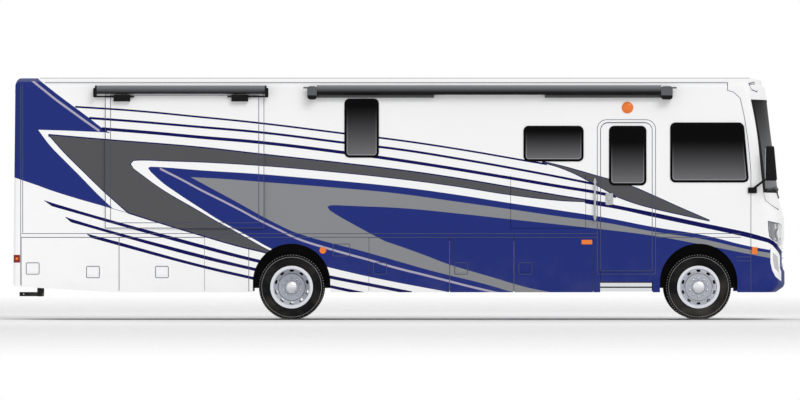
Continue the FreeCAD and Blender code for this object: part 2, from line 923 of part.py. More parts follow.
behind_seam = new_body("behind_seam")
pad(behind_seam, "XZ_Plane", -s.half_len, s.half_len * 2, [
    [(ZERO, ZERO), (seam_low_x + s.seam_gap, ZERO)] + seam_line(s.seam_gap)[1:]
    + [(ZERO, s.wall_top)]])
screen_hole = new_body("screen_hole")
pad(screen_hole, "YZ_Plane", seam_high_x, s.half_len, [
    rounded(-s.glass_half, s.glass_foot, s.glass_half, s.glass_top, s.glass_round)])

# Headlamps wrap the corners of the mask

lamp_rear = s.half_len - s.lamp_back
lamp_past = s.half_len + s.cut_over
lamp_loop = [
    (lamp_rear, s.lamp_top), (lamp_rear + s.lamp_bend, s.lamp_bend_z), (s.half_len - s.lamp_nose, s.lamp_foot),
    (lamp_past, s.lamp_foot), (lamp_past, s.lamp_nose_top),
]


def lamp_prism(name, side, shrink):
    body = new_body(name)
    deep = s.half_wid - s.lamp_in - shrink
    away = -s.half_wid if side > 0 else s.lamp_in + shrink
    pad(body, "XZ_Plane", away, deep, [lamp_loop])
    return body


grille_hole = block("grille_hole", s.half_len - s.grille_deep, lamp_past, -s.grille_half, s.grille_half,
                    s.grille_foot, s.grille_top)
cap_solid = common("cap_solid", cap_outer, crown_form)
cap_hollow = common("cap_hollow", cap_inner, crown_inner)
cap_shell = cut("cap_shell", cap_solid, cap_hollow)
lamp_holes = [lamp_prism("lamp_hole_left", 1, ZERO), lamp_prism("lamp_hole_right", -1, ZERO)]
node(cut("front_cap", cap_shell, fuse("cap_cutter", [
    behind_seam, screen_hole, grille_hole] + lamp_holes)))

node(common("headlamps", cap_shell, gather("lamp_fill", [
    lamp_prism("lamp_left", 1, s.fit_gap), lamp_prism("lamp_right", -1, s.fit_gap)])))

screen_outer = cap_form("screen_outer", s.glass_inset)
screen_inner = cap_form("screen_inner", s.glass_inset + s.glass_thk)
screen_fill = new_body("screen_fill")
pad(screen_fill, "YZ_Plane", seam_high_x, s.half_len, [
    rounded(s.fit_gap - s.glass_half, s.glass_foot + s.fit_gap,
            s.glass_half - s.fit_gap, s.glass_top - s.fit_gap, s.glass_round)])
node(common("windshield", cut("screen_shell", screen_outer, screen_inner), screen_fill))


def bumper_form(name, inset):
    form = new_body(name)
    cap_band(form, BUMPER_LEVELS, inset, True)
    return form


bumper_back = block("bumper_back", ZERO, seam_low_x + s.seam_gap,
                    -s.half_len, s.half_len, ZERO, s.roof_top)
node(cut("front_bumper", cut("bumper_shell", bumper_form("bumper_outer", ZERO),
                             bumper_form("bumper_inner", s.cap_thk)), bumper_back))

# Grille: bars bowed as the mask is, in a frame, with posts behind them


def bow_bar(name, low, high):
    half = s.grille_half - s.fit_gap
    front = s.half_len - s.bar_back - half * half / (s.grille_bow * 2)
    bar = new_body(name)
    pad(bar, "XY_Plane", low, high - low, [[
        (front, -half, s.grille_bow, 1), (front, half),
        (front - s.bar_deep, half, s.grille_bow, -1), (front - s.bar_deep, -half)]])
    return bar


bar_floor = s.grille_foot + s.fit_gap
bar_roof = s.grille_top - s.fit_gap
grille_parts = [bow_bar("grille_sill", bar_floor, bar_floor + s.bar_edge),
                bow_bar("grille_head", bar_roof - s.bar_edge, bar_roof)]
for i in range(3):
    middle = s.bar_mid_z + s.bar_pitch * (i - 1)
    grille_parts.append(bow_bar(f"grille_bar_{i}", middle - s.bar_tall / 2, middle + s.bar_tall / 2))
post_rear = s.half_len - s.post_back
post_pitch = ((s.grille_half - s.fit_gap) * 2 - s.post_wide) / 4
for i in range(5):
    low = s.fit_gap - s.grille_half + post_pitch * i
    grille_parts.append(block(f"grille_post_{i}", post_rear, post_rear + s.post_thk, low, low + s.post_wide,
                              bar_floor, bar_roof))
node(fuse("grille", grille_parts))

# Floor deck with the entry stairwell cut in it

well_front = door_fore
well_back = s.door_x - s.door_gap
well_in = wall_in - s.step_tread * 2
deck_front = seam_low_x - s.deck_clear
deck = new_body("floor_deck")
pad(deck, "XY_Plane", deck_foot, s.deck_thk, [[
    (wall_rear, -wall_in), (well_back, -wall_in), (well_back, -well_in), (well_front, -well_in),
    (well_front, -wall_in), (deck_front, -wall_in), (deck_front, wall_in), (wall_rear, wall_in)]])
node(deck)

# Stairwell: two treads and risers between cheeks

step_mid = (s.step_low + deck_foot) / 2
stair = new_body("stairwell")
pad(stair, "YZ_Plane", well_back, well_front - well_back, [[
    (-wall_in, s.step_low), (-wall_in, s.step_low - s.step_thk),
    (-wall_in + s.step_tread + s.step_thk, s.step_low - s.step_thk),
    (-wall_in + s.step_tread + s.step_thk, step_mid - s.step_thk),
    (-well_in, step_mid - s.step_thk), (-well_in, deck_foot),
    (-well_in - s.step_thk, deck_foot), (-well_in - s.step_thk, step_mid),
    (-wall_in + s.step_tread, step_mid), (-wall_in + s.step_tread, s.step_low)]])
tray_foot = s.outer_step_foot + s.tray_rise
runner_foot = tray_foot - s.seat_gap - s.step_thk
cheek_loop = [
    (-wall_in, runner_foot), (s.outer_step_deep - s.half_wid, runner_foot),
    (s.outer_step_deep - s.half_wid, s.step_low - s.step_thk), (-well_in, s.step_low - s.step_thk),
    (-well_in, deck_foot), (-wall_in, deck_foot)]
pad(stair, "YZ_Plane", well_back - s.step_thk, s.step_thk, [cheek_loop])
pad(stair, "YZ_Plane", well_front, s.step_thk, [cheek_loop])
ledge_loop = rectangle(-wall_in, runner_foot, s.outer_step_deep - s.half_wid, runner_foot + s.step_thk)
ledge_len = s.door_gap + s.ledge_grip
pad(stair, "YZ_Plane", well_back, ledge_len, [ledge_loop])
pad(stair, "YZ_Plane", well_front - ledge_len, ledge_len, [ledge_loop])
node(stair)

# Outer step, drawn out sideways under the stairwell

node(fuse("outer_step", [
    block("step_tray", s.door_x, s.door_x + s.door_len, -s.half_wid,
          s.outer_step_deep - s.half_wid, tray_foot, tray_foot + s.tray_thk),
    block("step_nose", s.door_x, s.door_x + s.door_len, -s.half_wid,
          s.step_thk * 2 - s.half_wid, s.outer_step_foot, s.outer_step_top),
]))

# Storage bays behind the skirt doors

bay_face = skirt_in - s.seat_gap
bay_back = bay_face - s.bay_deep


def bay_tubs(name, side, seams):
    """Open-fronted tubs side by side, hung under the deck. The rearmost is shallower."""
    away = -bay_face if side > 0 else bay_back + s.bay_wall
    tubs = []
    for i, (low, high) in enumerate(zip(seams, seams[1:])):
        x0 = low + s.seam_gap if i == 0 else low
        x1 = high - s.seam_gap if high is seams[-1] else high
        foot = s.bay_foot + s.rear_rise if low is wall_rear else s.bay_foot
        tub = side_plate(f"{name}_{i}", side, bay_face, s.bay_deep, [rectangle(x0, foot, x1, deck_foot)])
        pocket(tub, "XZ_Plane", away, s.bay_deep - s.bay_wall, [
            rectangle(low + s.seam_gap + s.bay_wall, foot + s.bay_wall,
                      high - s.seam_gap - s.bay_wall, deck_foot - s.bay_wall)])
        tubs.append(tub)
    return tubs


rear_seams = [wall_rear, seam_ab, seam_b]
right_mid_seams = [seam_e, seam_ef, seam_fg, seam_g]
left_mid_seams = [seam_e, left_mid, seam_g]
node(gather("rear_bays", bay_tubs("rear_tub_right", -1, rear_seams) + bay_tubs("rear_tub_left", 1, rear_seams)))
node(gather("mid_bays", bay_tubs("mid_tub_right", -1, right_mid_seams)
            + bay_tubs("mid_tub_left", 1, left_mid_seams)))


def bay_door(name, side, low, high, latches):
    """A flush door with a square latch pan for each place in `latches`, the ones off its rear edge set lower."""
    x0 = low + s.door_gap
    x1 = high - s.door_gap
    rear_foot = s.skirt_z + s.rear_rise if low is wall_rear else s.skirt_z
    door = side_plate(name, side, s.half_wid, s.skirt_thk, [[
        (x0, rear_foot), (x1, s.skirt_z), (x1, s.belt_z - s.door_gap), (x0, s.belt_z - s.door_gap)]])
    pans = []
    for place in latches:
        pan_z = s.latch_z - s.latch_drop
        if place == "rear":
            pan_x = x0 + s.latch_in
            pan_z = s.latch_z
        elif place == "front":
            pan_x = x1 - s.latch_far_in - s.latch_wide
        else:
            pan_x = (x0 + x1 - s.latch_wide) / 2
        pans.append(rounded(pan_x, pan_z - s.latch_tall / 2,
                            pan_x + s.latch_wide, pan_z + s.latch_tall / 2, s.latch_round))
    away = -s.half_wid if side > 0 else s.half_wid - s.latch_deep
    pocket(door, "XZ_Plane", away, s.latch_deep, pans)
    return node(door)


bay_door("bay_door_r1", -1, wall_rear, seam_ab, ["rear", "front"])
bay_door("bay_door_r2", -1, seam_ab, seam_b, ["middle"])
bay_door("bay_door_r3", -1, seam_e, seam_ef, ["rear"])
bay_door("bay_door_r4", -1, seam_ef, seam_fg, ["rear"])
bay_door("bay_door_r5", -1, seam_fg, seam_g, ["rear"])
bay_door("bay_door_l1", 1, wall_rear, seam_ab, ["rear", "front"])
bay_door("bay_door_l2", 1, seam_ab, seam_b, ["middle"])
bay_door("bay_door_l3", 1, seam_e, left_mid, ["rear"])
bay_door("bay_door_l4", 1, left_mid, seam_g, ["rear"])

# Entry door

door_loop = [
    (s.door_x, s.door_foot), (s.door_x + s.door_len, s.door_foot),
    (s.door_x + s.door_len, s.door_head - s.door_round, s.door_round, 1),
    (s.door_x + s.door_len - s.door_round, s.door_head),
    (s.door_x + s.door_round, s.door_head, s.door_round, 1), (s.door_x, s.door_head - s.door_round),
]
node(side_plate("entry_door", -1, s.half_wid, s.door_thk, [door_loop, window_loop(DOOR_WINDOW, ZERO)]))
node(window_pane("entry_glass", -1, s.half_wid, DOOR_WINDOW))

# Entertainment hatch: its lid, and the box behind it

node(side_plate("hatch_lid", -1, s.half_wid, s.hatch_lid_thk, [
    rectangle(s.hatch_x + s.door_gap, s.hatch_foot + s.door_gap,
              s.hatch_x + s.hatch_len - s.door_gap, s.hatch_top - s.seat_gap)]))
hatch_box = side_plate("hatch_box", -1, wall_in, s.hatch_deep, [
    rectangle(s.hatch_x - s.bay_wall, s.hatch_foot - s.bay_wall,
              s.hatch_x + s.hatch_len + s.bay_wall, s.hatch_top + s.bay_wall)])
pocket(hatch_box, "XZ_Plane", wall_in - s.hatch_deep + s.bay_wall, s.hatch_deep - s.bay_wall, [
    rectangle(s.hatch_x, s.hatch_foot, s.hatch_x + s.hatch_len, s.hatch_top)])
node(hatch_box)

# Slide-out rooms: a box open to the cabin, with a flange that closes on the wall


def room(name, side, x, length, windows):
    holes = [window_loop(window, ZERO) for window in windows]
    face = s.half_wid + s.flange_thk + s.fit_gap
    shell = side_plate(name, side, face, s.flange_thk, [
        rectangle(x - s.flange_lap, s.room_foot - s.flange_lap,
                  x + length + s.flange_lap, s.room_top + s.flange_lap)] + holes)
    frame = s.frame_wide - s.flange_lap
    line = frame + s.groove_wide
    groove(shell, side, face,
           rectangle(x + frame, s.room_foot + frame, x + length - frame, s.room_top - frame),
           rectangle(x + line, s.room_foot + line, x + length - line, s.room_top - line))
    away = -(s.half_wid + s.fit_gap) if side > 0 else s.half_wid + s.fit_gap - s.room_deep
    out = rectangle(x + s.room_gap, s.room_foot + s.room_gap,
                    x + length - s.room_gap, s.room_top - s.room_gap)
    edge = s.room_gap + s.room_wall
    inner = rectangle(x + edge, s.room_foot + edge, x + length - edge, s.room_top - edge)
    pad(shell, "XZ_Plane", away, s.room_deep, [out, inner])
    return node(shell)


room("room_right", -1, s.room_r_x, s.room_r_len, [])
room("room_left", 1, s.room_l_x, s.room_l_len, [ROOM_WINDOW])
node(window_pane("room_glass", 1, s.half_wid + s.flange_thk + s.fit_gap, ROOM_WINDOW))

# Awning along the right wall: roller on its rail, moulded end caps and the lugs that turn it

awning_y = -(s.half_wid + s.awning_rad + s.awning_off)
awning_end = s.awning_x + s.awning_len
awning_rear = s.awning_x - s.awning_cap_rear
awning_front = awning_end + s.awning_cap_front
awning_face = s.half_wid + s.awning_off + s.awning_rad * 2 + s.roller_edge


def awning_cap(name, x0, x1):
    return side_plate(name, -1, awning_face, awning_face - s.half_wid, [
        rounded(x0, s.awning_cap_foot, x1, s.awning_cap_top, s.awning_cap_round)])


node(fuse("awning", [
    rod("awning_roller", "x", (s.awning_x, awning_y, s.awning_z), s.awning_len, s.awning_rad),
    block("awning_rail", s.awning_x, awning_end, awning_y, -s.half_wid,
          s.awning_z - s.awning_rail, s.awning_z + s.awning_rail),
    awning_cap("awning_cap_rear", awning_rear, s.awning_x),
    awning_cap("awning_cap_front", awning_end, awning_front),
    rod("awning_lugs", "x", (awning_rear - s.awning_lug, awning_y, s.awning_lug_z),
        awning_front - awning_rear + s.awning_lug * 2, s.awning_lug_rad),
]))

# Slide topper: a roller between two arms, each on a rod through a foot on the room's flange

topper_face = s.half_wid + s.flange_thk + s.fit_gap
topper_y = -(topper_face + s.topper_rad + s.awning_off)
topper_end = s.topper_x + s.topper_len
rod_y = -(topper_face + s.topper_foot_deep / 2)
arm_deep = (s.topper_rad + s.roller_edge) * 2
arm_face = topper_face + s.awning_off - s.roller_edge + arm_deep
topper = [rod("topper_roller", "x", (s.topper_x + s.topper_arm / 2, topper_y, s.topper_z),
              s.topper_len - s.topper_arm, s.topper_rad)]
arm_mid = s.topper_arm / 2
for word, x0, rod_x, foot_x in (
        ("rear", s.topper_x, s.topper_x + arm_mid, s.topper_x + s.topper_foot_in),
        ("front", topper_end - s.topper_arm, topper_end - s.topper_rod_len,
         topper_end - s.topper_foot_in - s.topper_foot_len)):
    topper.append(side_plate(f"topper_arm_{word}", -1, arm_face, arm_deep, [
        rounded(x0, s.topper_arm_foot, x0 + s.topper_arm, s.topper_arm_top, s.topper_arm_round)]))
    topper.append(rod(f"topper_rod_{word}", "x", (rod_x, rod_y, s.topper_rod_z), s.topper_rod_len - arm_mid,
                      s.topper_rod_rad))
    topper.append(block(f"topper_foot_{word}", foot_x, foot_x + s.topper_foot_len,
                        -(topper_face + s.topper_foot_deep), -topper_face,
                        s.topper_foot_z, s.topper_foot_z + s.topper_foot_tall))
node(fuse("slide_topper", topper))

# Chassis: two channel rails, cross members and risers to the deck


def rail(name, side):
    body = new_body(name)
    outer = s.rail_y + s.rail_wide
    top = s.rail_foot + s.rail_tall
    web = s.rail_web
    loop = [
        (s.rail_y * side, s.rail_foot), (outer * side, s.rail_foot), (outer * side, top),
        (s.rail_y * side, top), (s.rail_y * side, top - web), ((outer - web) * side, top - web),
        ((outer - web) * side, s.rail_foot + web), (s.rail_y * side, s.rail_foot + web),
    ]
    pad(body, "YZ_Plane", -s.frame_back, s.frame_back + s.frame_front, [loop])
    return body


frame_parts = [rail("rail_left", 1), rail("rail_right", -1)]
CROSS_PLACES = (-5400.0, -4340.0, -3340.0, -2500.0, -760.0, 700.0, 2300.0, 3900.0, 5150.0)
rail_top = s.rail_foot + s.rail_tall
rail_mid = s.rail_y + s.rail_wide - s.rail_web
for i, place in enumerate(CROSS_PLACES):
    x = as_length(place)
    frame_parts.append(block(f"cross_{i}", x, x + s.cross_len, -rail_mid, rail_mid,
                             s.cross_foot, s.cross_foot + s.cross_tall))
    frame_parts.append(block(f"bearer_{i}", x, x + s.cross_len, -(s.rail_y + s.rail_wide),
                             s.rail_y + s.rail_wide, rail_top, deck_foot))

# Tow hitch: a cross bar under the rails, with a square socket and its pin hole

hitch_x = -s.frame_back
hitch_out = s.hitch_socket / 2 + s.hitch_wall
hitch_parts = []
for side in (1, -1):
    low, high = across(side, s.rail_y + s.rail_wide - s.hitch_plate, s.rail_y + s.rail_wide)
    hitch_parts.append(block(f"hitch_plate_{side + 1}", hitch_x, hitch_x + s.hitch_bar, low, high,
                             s.hitch_z - hitch_out, s.rail_foot))
hitch_parts.append(block("hitch_cross", hitch_x, hitch_x + s.hitch_bar, -(s.rail_y + s.rail_wide),
                         s.rail_y + s.rail_wide, s.hitch_z - hitch_out, s.hitch_z + hitch_out))
socket_mouth = s.hitch_reach - s.half_len
socket_block = block("socket_block", socket_mouth, hitch_x + 1.0, -hitch_out, hitch_out,
                     s.hitch_z - hitch_out, s.hitch_z + hitch_out)
socket_void = block("socket_void", socket_mouth - 1.0, hitch_x, -(s.hitch_socket / 2), s.hitch_socket / 2,
                    s.hitch_z - s.hitch_socket / 2, s.hitch_z + s.hitch_socket / 2)
pin_hole = rod("pin_hole", "y", (socket_mouth + s.hitch_pin_in, -hitch_out - 1.0, s.hitch_z),
               hitch_out * 2 + 2.0, s.hitch_pin_rad)
hitch_parts.append(cut("socket", socket_block, fuse("socket_tools", [socket_void, pin_hole])))
node(gather("chassis_frame", frame_parts + [fuse("tow_hitch", hitch_parts)]))

# Front axle: a beam with kingpin eyes, and leaf springs under the rails


def leaf_spring(name, side, x, seat_z):
    """A bowed pack of leaves from the axle seat up to the rail."""
    half = s.spring_half
    rise = s.spring_rise
    bow_rad = (half * half + rise * rise) / (rise * 2)
    top = seat_z + s.spring_thk
    spring = new_body(name)
    y_low = s.spring_y - s.spring_wide / 2
    away = -(y_low + s.spring_wide) if side > 0 else y_low
    pad(spring, "XZ_Plane", away, s.spring_wide, [[
        (x - half, seat_z + rise, bow_rad, 1), (x, seat_z, bow_rad, 1), (x + half, seat_z + rise),
        (x + half, top + rise, bow_rad, -1), (x, top, bow_rad, -1), (x - half, top + rise)]])
    return spring


def spring_set(x, seat_z, name):
    parts = []
    for side, word in ((1, "left"), (-1, "right")):
        parts.append(leaf_spring(f"{name}_{word}", side, x, seat_z))
        for end in (-1, 1):
            middle = x + (s.spring_half - s.hanger_in) * end
            parts.append(block(f"{name}_hanger_{word}_{end + 1}",
                               middle - s.hanger_half, middle + s.hanger_half,
                               (s.spring_y * side) - s.spring_wide / 2,
                               (s.spring_y * side) + s.spring_wide / 2,
                               seat_z + s.spring_rise, s.rail_foot))
    return parts


beam_top = axle_z + s.beam_half
node(fuse("front_axle", [
    block("beam", s.front_axle_x - s.beam_half, s.front_axle_x + s.beam_half, s.beam_short - s.kingpin_y,
          s.kingpin_y - s.beam_short, axle_z - s.beam_half, beam_top),
    rod("eye_left", "z", (s.front_axle_x, s.kingpin_y, axle_z - s.eye_half), s.eye_half * 2, s.kingpin_rad),
    rod("eye_right", "z", (s.front_axle_x, -s.kingpin_y, axle_z - s.eye_half), s.eye_half * 2, s.kingpin_rad),
] + spring_set(s.front_axle_x, beam_top - s.spring_sink, "front_spring")))

rear_top = axle_z + s.axle_rad
rear_end = s.rear_hub_y - s.drum_in - s.seat_gap
node(fuse("rear_axle", [
    rod("housing", "y", (rear_axle_x, -rear_end, axle_z), rear_end * 2, s.axle_rad),
    rod("diff_bowl", "y", (rear_axle_x, -s.bowl_half, axle_z), s.bowl_half * 2, s.bowl_rad),
    rod("pinion_nose", "x", (rear_axle_x, ZERO, s.shaft_z), s.pinion_len - s.seat_gap, s.pinion_rad),
] + spring_set(rear_axle_x, rear_top - s.spring_sink, "rear_spring")))

# Drive line: engine block, and a shaft from it to the pinion

node(block("engine_block", s.engine_x, s.engine_x + s.engine_len, -s.engine_half, s.engine_half,
           s.engine_foot, s.engine_top))
shaft_back = rear_axle_x + s.pinion_len
node(rod("drive_shaft", "x", (shaft_back, ZERO, s.shaft_z), s.engine_x - shaft_back, s.shaft_rad))

node(block("fuel_tank", s.tank_x, s.tank_x + s.tank_len, -s.tank_half, s.tank_half,
           s.tank_foot, s.cross_foot))

exhaust = [
    rod("pipe_run", "x", (-s.pipe_back, s.pipe_y, s.pipe_z), s.engine_x + s.pipe_back, s.pipe_rad),
    rod("muffler", "x", (s.muffler_x, s.pipe_y, s.pipe_z), s.muffler_len, s.muffler_rad),
]
for i in (3, 6):
    strap_x = CROSS_PLACES[i] + s.strap_in
    exhaust.append(block(f"pipe_strap_{i}", strap_x, strap_x + s.strap_wide, s.pipe_y - s.strap_half,
                         s.pipe_y + s.strap_half, s.pipe_z, s.cross_foot))
node(fuse("exhaust_pipe", exhaust))

# Wheel wells: an arched liner at each wheel, closed inside by a wall with a notch for the axle

liner_in = s.arch_rad + s.liner_gap
liner_out = liner_in + s.liner_thk


def well(name, side, x, inner_y, outer_y):
    liner = side_plate(name, side, outer_y, outer_y - inner_y, [[
        (x - liner_out, s.well_foot), (x - liner_in, s.well_foot), (x - liner_in, s.arch_z, liner_in, -1),
        (x, s.arch_z + liner_in, liner_in, -1), (x + liner_in, s.arch_z), (x + liner_in, s.well_foot),
        (x + liner_out, s.well_foot), (x + liner_out, s.arch_z, liner_out, 1),
        (x, s.arch_z + liner_out, liner_out, 1), (x - liner_out, s.arch_z)]])
    wall = side_plate(name + "_wall", side, inner_y, s.liner_thk, [[
        (x - liner_out, s.well_foot), (x - s.well_notch, s.well_foot), (x - s.well_notch, s.well_notch_top),
        (x + s.well_notch, s.well_notch_top), (x + s.well_notch, s.well_foot), (x + liner_out, s.well_foot),
        (x + liner_out, s.arch_z, liner_out, 1), (x, s.arch_z + liner_out, liner_out, 1),
        (x - liner_out, s.arch_z)]])
    return [liner, wall]


node(gather("wheel_wells",
            well("well_front_right", -1, s.front_axle_x, s.front_well_y, wall_in)
            + well("well_front_left", 1, s.front_axle_x, s.front_well_y, wall_in)
            + well("well_rear_right", -1, rear_axle_x, s.rear_well_y, skirt_in)
            + well("well_rear_left", 1, rear_axle_x, s.rear_well_y, skirt_in)))

# Steering knuckles: a yoke round the beam's eye, and the spindle


def knuckle(name, side):
    x = s.front_axle_x
    lug_low = axle_z + s.eye_half + s.yoke_gap
    half = s.kingpin_rad
    inner = s.kingpin_y + half + s.yoke_reach
    plate_out = inner + s.yoke_plate
    parts = []
    for i, low in enumerate((lug_low, axle_z - s.eye_half - s.yoke_gap - s.yoke_thk)):
        parts.append(rod(f"{name}_lug_{i}", "z", (x, s.kingpin_y * side, low), s.yoke_thk, s.kingpin_rad))
        y0, y1 = across(side, s.kingpin_y, plate_out)
        parts.append(block(f"{name}_bridge_{i}", x - half, x + half, y0, y1, low, low + s.yoke_thk))
    y0, y1 = across(side, inner, plate_out)
    parts.append(block(f"{name}_plate", x - half, x + half, y0, y1,
                       axle_z - s.eye_half - s.yoke_gap - s.yoke_thk, lug_low + s.yoke_thk))
    y0, y1 = across(side, inner, s.front_hub_y)
    parts.append(rod(f"{name}_spindle", "y", (x, y0, axle_z), y1 - y0, s.spindle_rad))
    return node(fuse(name, parts))


knuckle("knuckle_right", -1)
knuckle("knuckle_left", 1)

# Tyres and wheels, turned about the hub line. u runs outwards along Y.


def turned(body, side, x, y, loop):
    points = []
    for corner in loop:
        point = (as_length(corner[0]) * side, corner[1])
        if len(corner) == 4:
            point += (corner[2], corner[3] * side)
        points.append(point)
    sketch = sketch_on(body, "YZ_Plane", (as_length(y) * side, axle_z, x), [points])
    feature = body.newObject("PartDesign::Revolution", body.Label + "_turn")
    feature.Profile = sketch
    feature.ReferenceAxis = (sketch, ["H_Axis"])
    feature.Angle = 360.0
    doc.recompute()
    return feature


def tyre(name, side, x, y):
    body = new_body(name)
    bead = s.bead_half - s.seat_gap
    wall_low = s.rim_lip + s.lip_gap
    wall_high = s.tyre_rad - s.shoulder_in
    bulge = s.tyre_half - bead
    half_rise = (wall_high - wall_low) / 2
    wall_rad = (half_rise * half_rise + bulge * bulge) / (bulge * 2)
    turned(body, side, x, y, [
        (-bead, s.bead_rad), (bead, s.bead_rad), (bead, wall_low, wall_rad, 1), (bead, wall_high),
        (s.tread_half - s.shoulder_wide, s.tyre_rad), (s.shoulder_wide - s.tread_half, s.tyre_rad),
        (-bead, wall_high, wall_rad, 1), (-bead, wall_low)])
    return body


def wheel_loop(way):
    """Rim barrel, lips and dished disc. The disc stands on the `way` side."""
    lip = s.bead_half + s.lip_thk
    bead = s.bead_half + s.seat_gap
    seat = s.bead_rad - s.seat_gap
    inside = seat - s.rim_wall
    face = s.wheel_set
    back = s.wheel_set - s.rim_wall
    corners = [
        (-lip, s.rim_lip), (-bead, s.rim_lip), (-bead, seat), (bead, seat), (bead, s.rim_lip),
        (lip, s.rim_lip), (lip, inside), (s.disc_foot, inside), (face, s.disc_crown),
        (face, s.hub_rad), (back, s.hub_rad), (back, s.disc_crown - s.rim_wall / 2),
        (s.disc_foot - s.disc_slope, inside), (-lip, inside),
    ]
    return [(u * way, v) for u, v in corners]


def hand_holes(body, side, x, y, deep):
    """Ten oval holes through the disc."""
    away = -(y + deep) if side > 0 else y - deep
    before = body.Shape.Volume
    hole = rounded(-s.hand_half, s.hand_ring - s.hand_rise, s.hand_half, s.hand_ring + s.hand_rise,
                   s.hand_round)
    sketch = sketch_on(body, "XZ_Plane", (x, axle_z, away), [hole])
    feature = body.newObject("PartDesign::Pocket", body.Label + "_hand_hole")
    feature.Profile = sketch
    feature.Reversed = True
    bind(feature, "Length", deep * 2)
    doc.recompute()
    ring = body.newObject("PartDesign::PolarPattern", body.Label + "_hand_ring")
    ring.Originals = [feature]
    ring.Axis = (sketch, ["N_Axis"])
    ring.Angle = 360.0
    ring.Occurrences = 10
    body.Tip = ring
    doc.recompute()
    if not body.Shape.Volume < before - 1.0:
        raise RuntimeError(body.Label + ": no hand holes")


spindle_bore = s.spindle_rad + s.spindle_gap
hub_back = s.wheel_set - s.hub_deep
dome_foot = s.wheel_set + s.seam_gap
dome_top = s.wheel_set + s.hub_dome
hub_side = s.hub_rad + s.hub_lap
front_hub = [
    (hub_back, spindle_bore), (dome_foot, spindle_bore), (dome_foot, ZERO), (dome_top, ZERO),
    (dome_top, s.hub_dome_rad), (s.wheel_set + s.hub_step, s.hub_rad - s.hub_step),
    (s.wheel_set - s.rim_wall, hub_side), (s.wheel_set - s.hub_band, hub_side), (hub_back, s.hub_neck),
]
rear_hub = [
    (-s.drum_in, ZERO), (s.rear_hub_out, ZERO), (s.rear_hub_out, s.hub_dome_rad),
    (s.rear_hub_out - s.rear_hub_taper, s.hub_rad - s.hub_step), (s.rim_wall, hub_side),
    (-s.rim_wall, hub_side), (-s.drum_out, s.drum_rad), (-s.drum_in, s.drum_rad),
]
for side, word in ((-1, "right"), (1, "left")):
    front_y = s.front_hub_y - s.wheel_set
    node(tyre(f"front_tyre_{word}", side, s.front_axle_x, front_y))
    front_rim = new_body(f"front_rim_{word}")
    turned(front_rim, side, s.front_axle_x, front_y, wheel_loop(1))
    turned(front_rim, side, s.front_axle_x, front_y, front_hub)
    hand_holes(front_rim, side, s.front_axle_x, front_y, s.wheel_set)
    node(front_rim)

    outer_y = s.rear_hub_y + s.wheel_set
    inner_y = s.rear_hub_y - s.wheel_set
    node(gather(f"rear_tyres_{word}", [
        tyre(f"rear_tyre_out_{word}", side, rear_axle_x, outer_y),
        tyre(f"rear_tyre_in_{word}", side, rear_axle_x, inner_y)]))
    rims = new_body(f"rear_rims_{word}")
    turned(rims, side, rear_axle_x, outer_y, wheel_loop(-1))
    turned(rims, side, rear_axle_x, inner_y, wheel_loop(1))
    turned(rims, side, rear_axle_x, s.rear_hub_y, rear_hub)
    hand_holes(rims, side, rear_axle_x, s.rear_hub_y, s.wheel_set + s.bead_half)
    node(rims)

# Mirrors on arms from the front corners

mirror_mid = mirror_x + s.mirror_len / 2
mirror_parts = []
for side, word in ((1, "left"), (-1, "right")):
    head = new_body(f"mirror_head_{word}")
    away = -(s.mirror_in + s.mirror_wide) if side > 0 else s.mirror_in
    pad(head, "XZ_Plane", away, s.mirror_wide, [
        rounded(mirror_x, s.mirror_foot, mirror_x + s.mirror_len, s.mirror_top, s.mirror_round)])
    arm_y = (s.mirror_in + s.mirror_arm_in) * side
    low, high = across(side, s.half_wid + s.seat_gap, s.mirror_in + s.mirror_arm_in)
    mirror_parts.append(fuse(f"mirror_{word}", [
        head,
        rod(f"mirror_stub_{word}", "y", (s.mirror_arm_x, low, s.mirror_arm_z), high - low, s.mirror_arm),
        rod(f"mirror_reach_{word}", "x", (s.mirror_arm_x, arm_y, s.mirror_arm_z), mirror_mid - s.mirror_arm_x,
            s.mirror_arm),
        rod(f"mirror_post_{word}", "z", (mirror_mid, arm_y, s.mirror_arm_z - s.mirror_arm),
            s.mirror_foot - s.mirror_arm_z + s.mirror_arm_in, s.mirror_arm),
    ]))
node(gather("mirrors", mirror_parts))

# Amber marker lamps on the sides

markers = []
for side, word in ((1, "left"), (-1, "right")):
    low, high = across(side, s.half_wid, s.half_wid + s.marker_thk)
    markers.append(rod(f"marker_round_{word}", "y", (rear_axle_x + s.marker_fore, low, s.marker_z),
                       s.marker_thk, s.marker_rad))
    markers.append(block(f"marker_bar_{word}", cap_marker_x, cap_marker_x + s.cap_marker_len,
                         low, high, s.cap_marker_z, s.cap_marker_z + s.cap_marker_tall))
node(gather("marker_lamps", markers))

# Cab: dash, steering wheel and seats

dash_front = dash_x + s.dash_len
dash_low = s.dash_top - s.dash_face
dashboard = new_body("dashboard")
pad(dashboard, "XZ_Plane", -s.dash_half, s.dash_half * 2, [[
    (dash_x + s.dash_knee, s.deck_top), (dash_front, s.deck_top), (dash_front, s.dash_top),
    (dash_x + s.dash_brow, s.dash_top), (dash_x, s.dash_top - s.dash_brow), (dash_x, dash_low),
    (dash_x + s.dash_knee, s.dash_top - s.dash_skirt)]])
node(dashboard)

